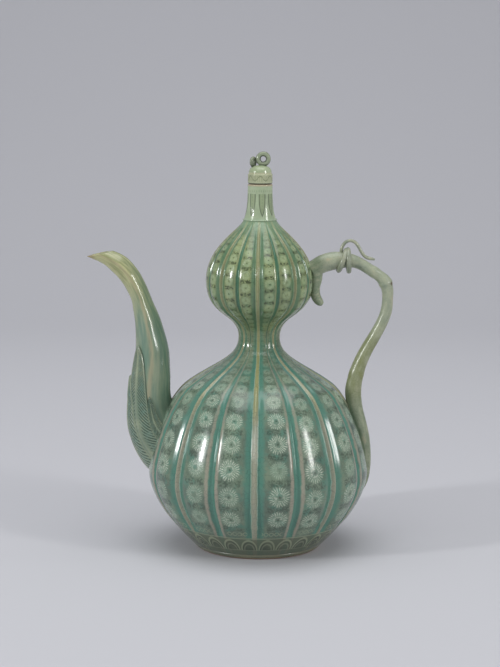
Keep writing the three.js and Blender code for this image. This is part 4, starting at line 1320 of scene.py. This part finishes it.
# The camera, the studio and the floor
CAMERA_PLACE = (AXIS_X * MM - 0.0083, -1.75, 0.465)
CAMERA_DOWN = 8.75
CAMERA_ROLL = 0.36
CAMERA_LENS = 105.36
scene = bpy.context.scene
camera_data = bpy.data.cameras.new("camera")
camera_data.sensor_fit = "VERTICAL"
camera_data.sensor_height = 36.0
camera_data.lens = CAMERA_LENS
camera_data.clip_end = 20.0
camera = bpy.data.objects.new("camera", camera_data)
camera.location = CAMERA_PLACE
camera.rotation_mode = "ZYX"
camera.rotation_euler = (math.radians(90.0 - CAMERA_DOWN), 0.0, math.radians(CAMERA_ROLL))
scene.collection.objects.link(camera)
scene.camera = camera
scene.view_settings.view_transform = "Standard"


def softbox(name, direction, reach, width, height, power, colour):
    """A rectangular area light at a distance along a direction, facing the middle of the ewer."""
    data = bpy.data.lights.new(name, "AREA")
    data.shape = "RECTANGLE"
    data.size = width
    data.size_y = height
    data.energy = power
    data.color = colour
    light = bpy.data.objects.new(name, data)
    aim = Vector((AXIS_X * MM, 0.0, 0.17))
    way = Vector(direction).normalized()
    light.location = aim + way * reach
    light.rotation_euler = (-way).to_track_quat("-Z", "Y").to_euler()
    scene.collection.objects.link(light)
    return light


softbox("left_softbox", (-0.80, -0.46, 0.30), 2.6, 0.2, 0.5, 25.0, (1.0, 1.0, 1.0))
softbox("right_softbox", (0.76, -0.52, 0.33), 2.6, 0.34, 1.0, 21.0, (1.0, 0.99, 0.97))
softbox("top_softbox", (0.0, -0.15, 1.0), 1.7, 1.6, 1.6, 17.0, (1.0, 1.0, 1.0))
backdrop_light = softbox("backdrop_softbox", (0.0, 1.0, 0.9), 1.5, 2.4, 0.8, 3.4, (1.0, 1.0, 1.0))
backdrop_light.rotation_euler = Vector((0.0, 0.55, -1.0)).to_track_quat("-Z", "Y").to_euler()

world = bpy.data.worlds.new("studio")
scene.world = world
world.use_nodes = True
world.node_tree.nodes.clear()
path = add(world.node_tree, "LightPath")
seen = add(world.node_tree, "Background", [tone("#9c9ca1"), 1.0])
glow = add(world.node_tree, "Background", [tone("#b4b4b8"), 0.78])
shown = most(world.node_tree, *(path.outputs[f"Is {kind} Ray"] for kind in ("Camera", "Glossy",
                                                                            "Transmission")))
mixed = add(world.node_tree, "MixShader", [shown, glow, seen])
add(world.node_tree, "OutputWorld", [mixed])


def floor_cloth():
    """The floor with its cove: flat, then a quarter circle up behind the ewer."""
    angle = np.radians(np.linspace(0.0, 90.0, 24))
    radius = 1.6
    start = 1.3
    line = np.vstack([[-3.0, 0.0], [0.0, 0.0], np.stack([start + radius * np.sin(angle),
                                                         radius * (1.0 - np.cos(angle))], axis=1),
                      [start + radius, 5.0]])
    across = np.linspace(-4.0, 4.0, 3)
    points = np.array([[(x, y, z - 0.0002) for x in across] for y, z in line])
    rows, columns = points.shape[:2]
    faces = [(row * columns + at, row * columns + at + 1, (row + 1) * columns + at + 1,
              (row + 1) * columns + at)
             for row in range(rows - 1) for at in range(columns - 1)]
    mesh = bpy.data.meshes.new("studio_floor")
    mesh.from_pydata(points.reshape(-1, 3).tolist(), [], faces)
    mesh.polygons.foreach_set("use_smooth", [True] * len(faces))
    floor = bpy.data.objects.new("studio_floor", mesh)
    scene.collection.objects.link(floor)
    material = bpy.data.materials.new("studio_paper")
    material.use_nodes = True
    tree = material.node_tree
    tree.nodes.clear()
    shader = add(tree, "BsdfPrincipled", {"Base Color": tone("#c5c6cb"), "Roughness": 0.9})
    add(tree, "OutputMaterial", [shader])
    mesh.materials.append(material)
    return floor


floor_cloth()
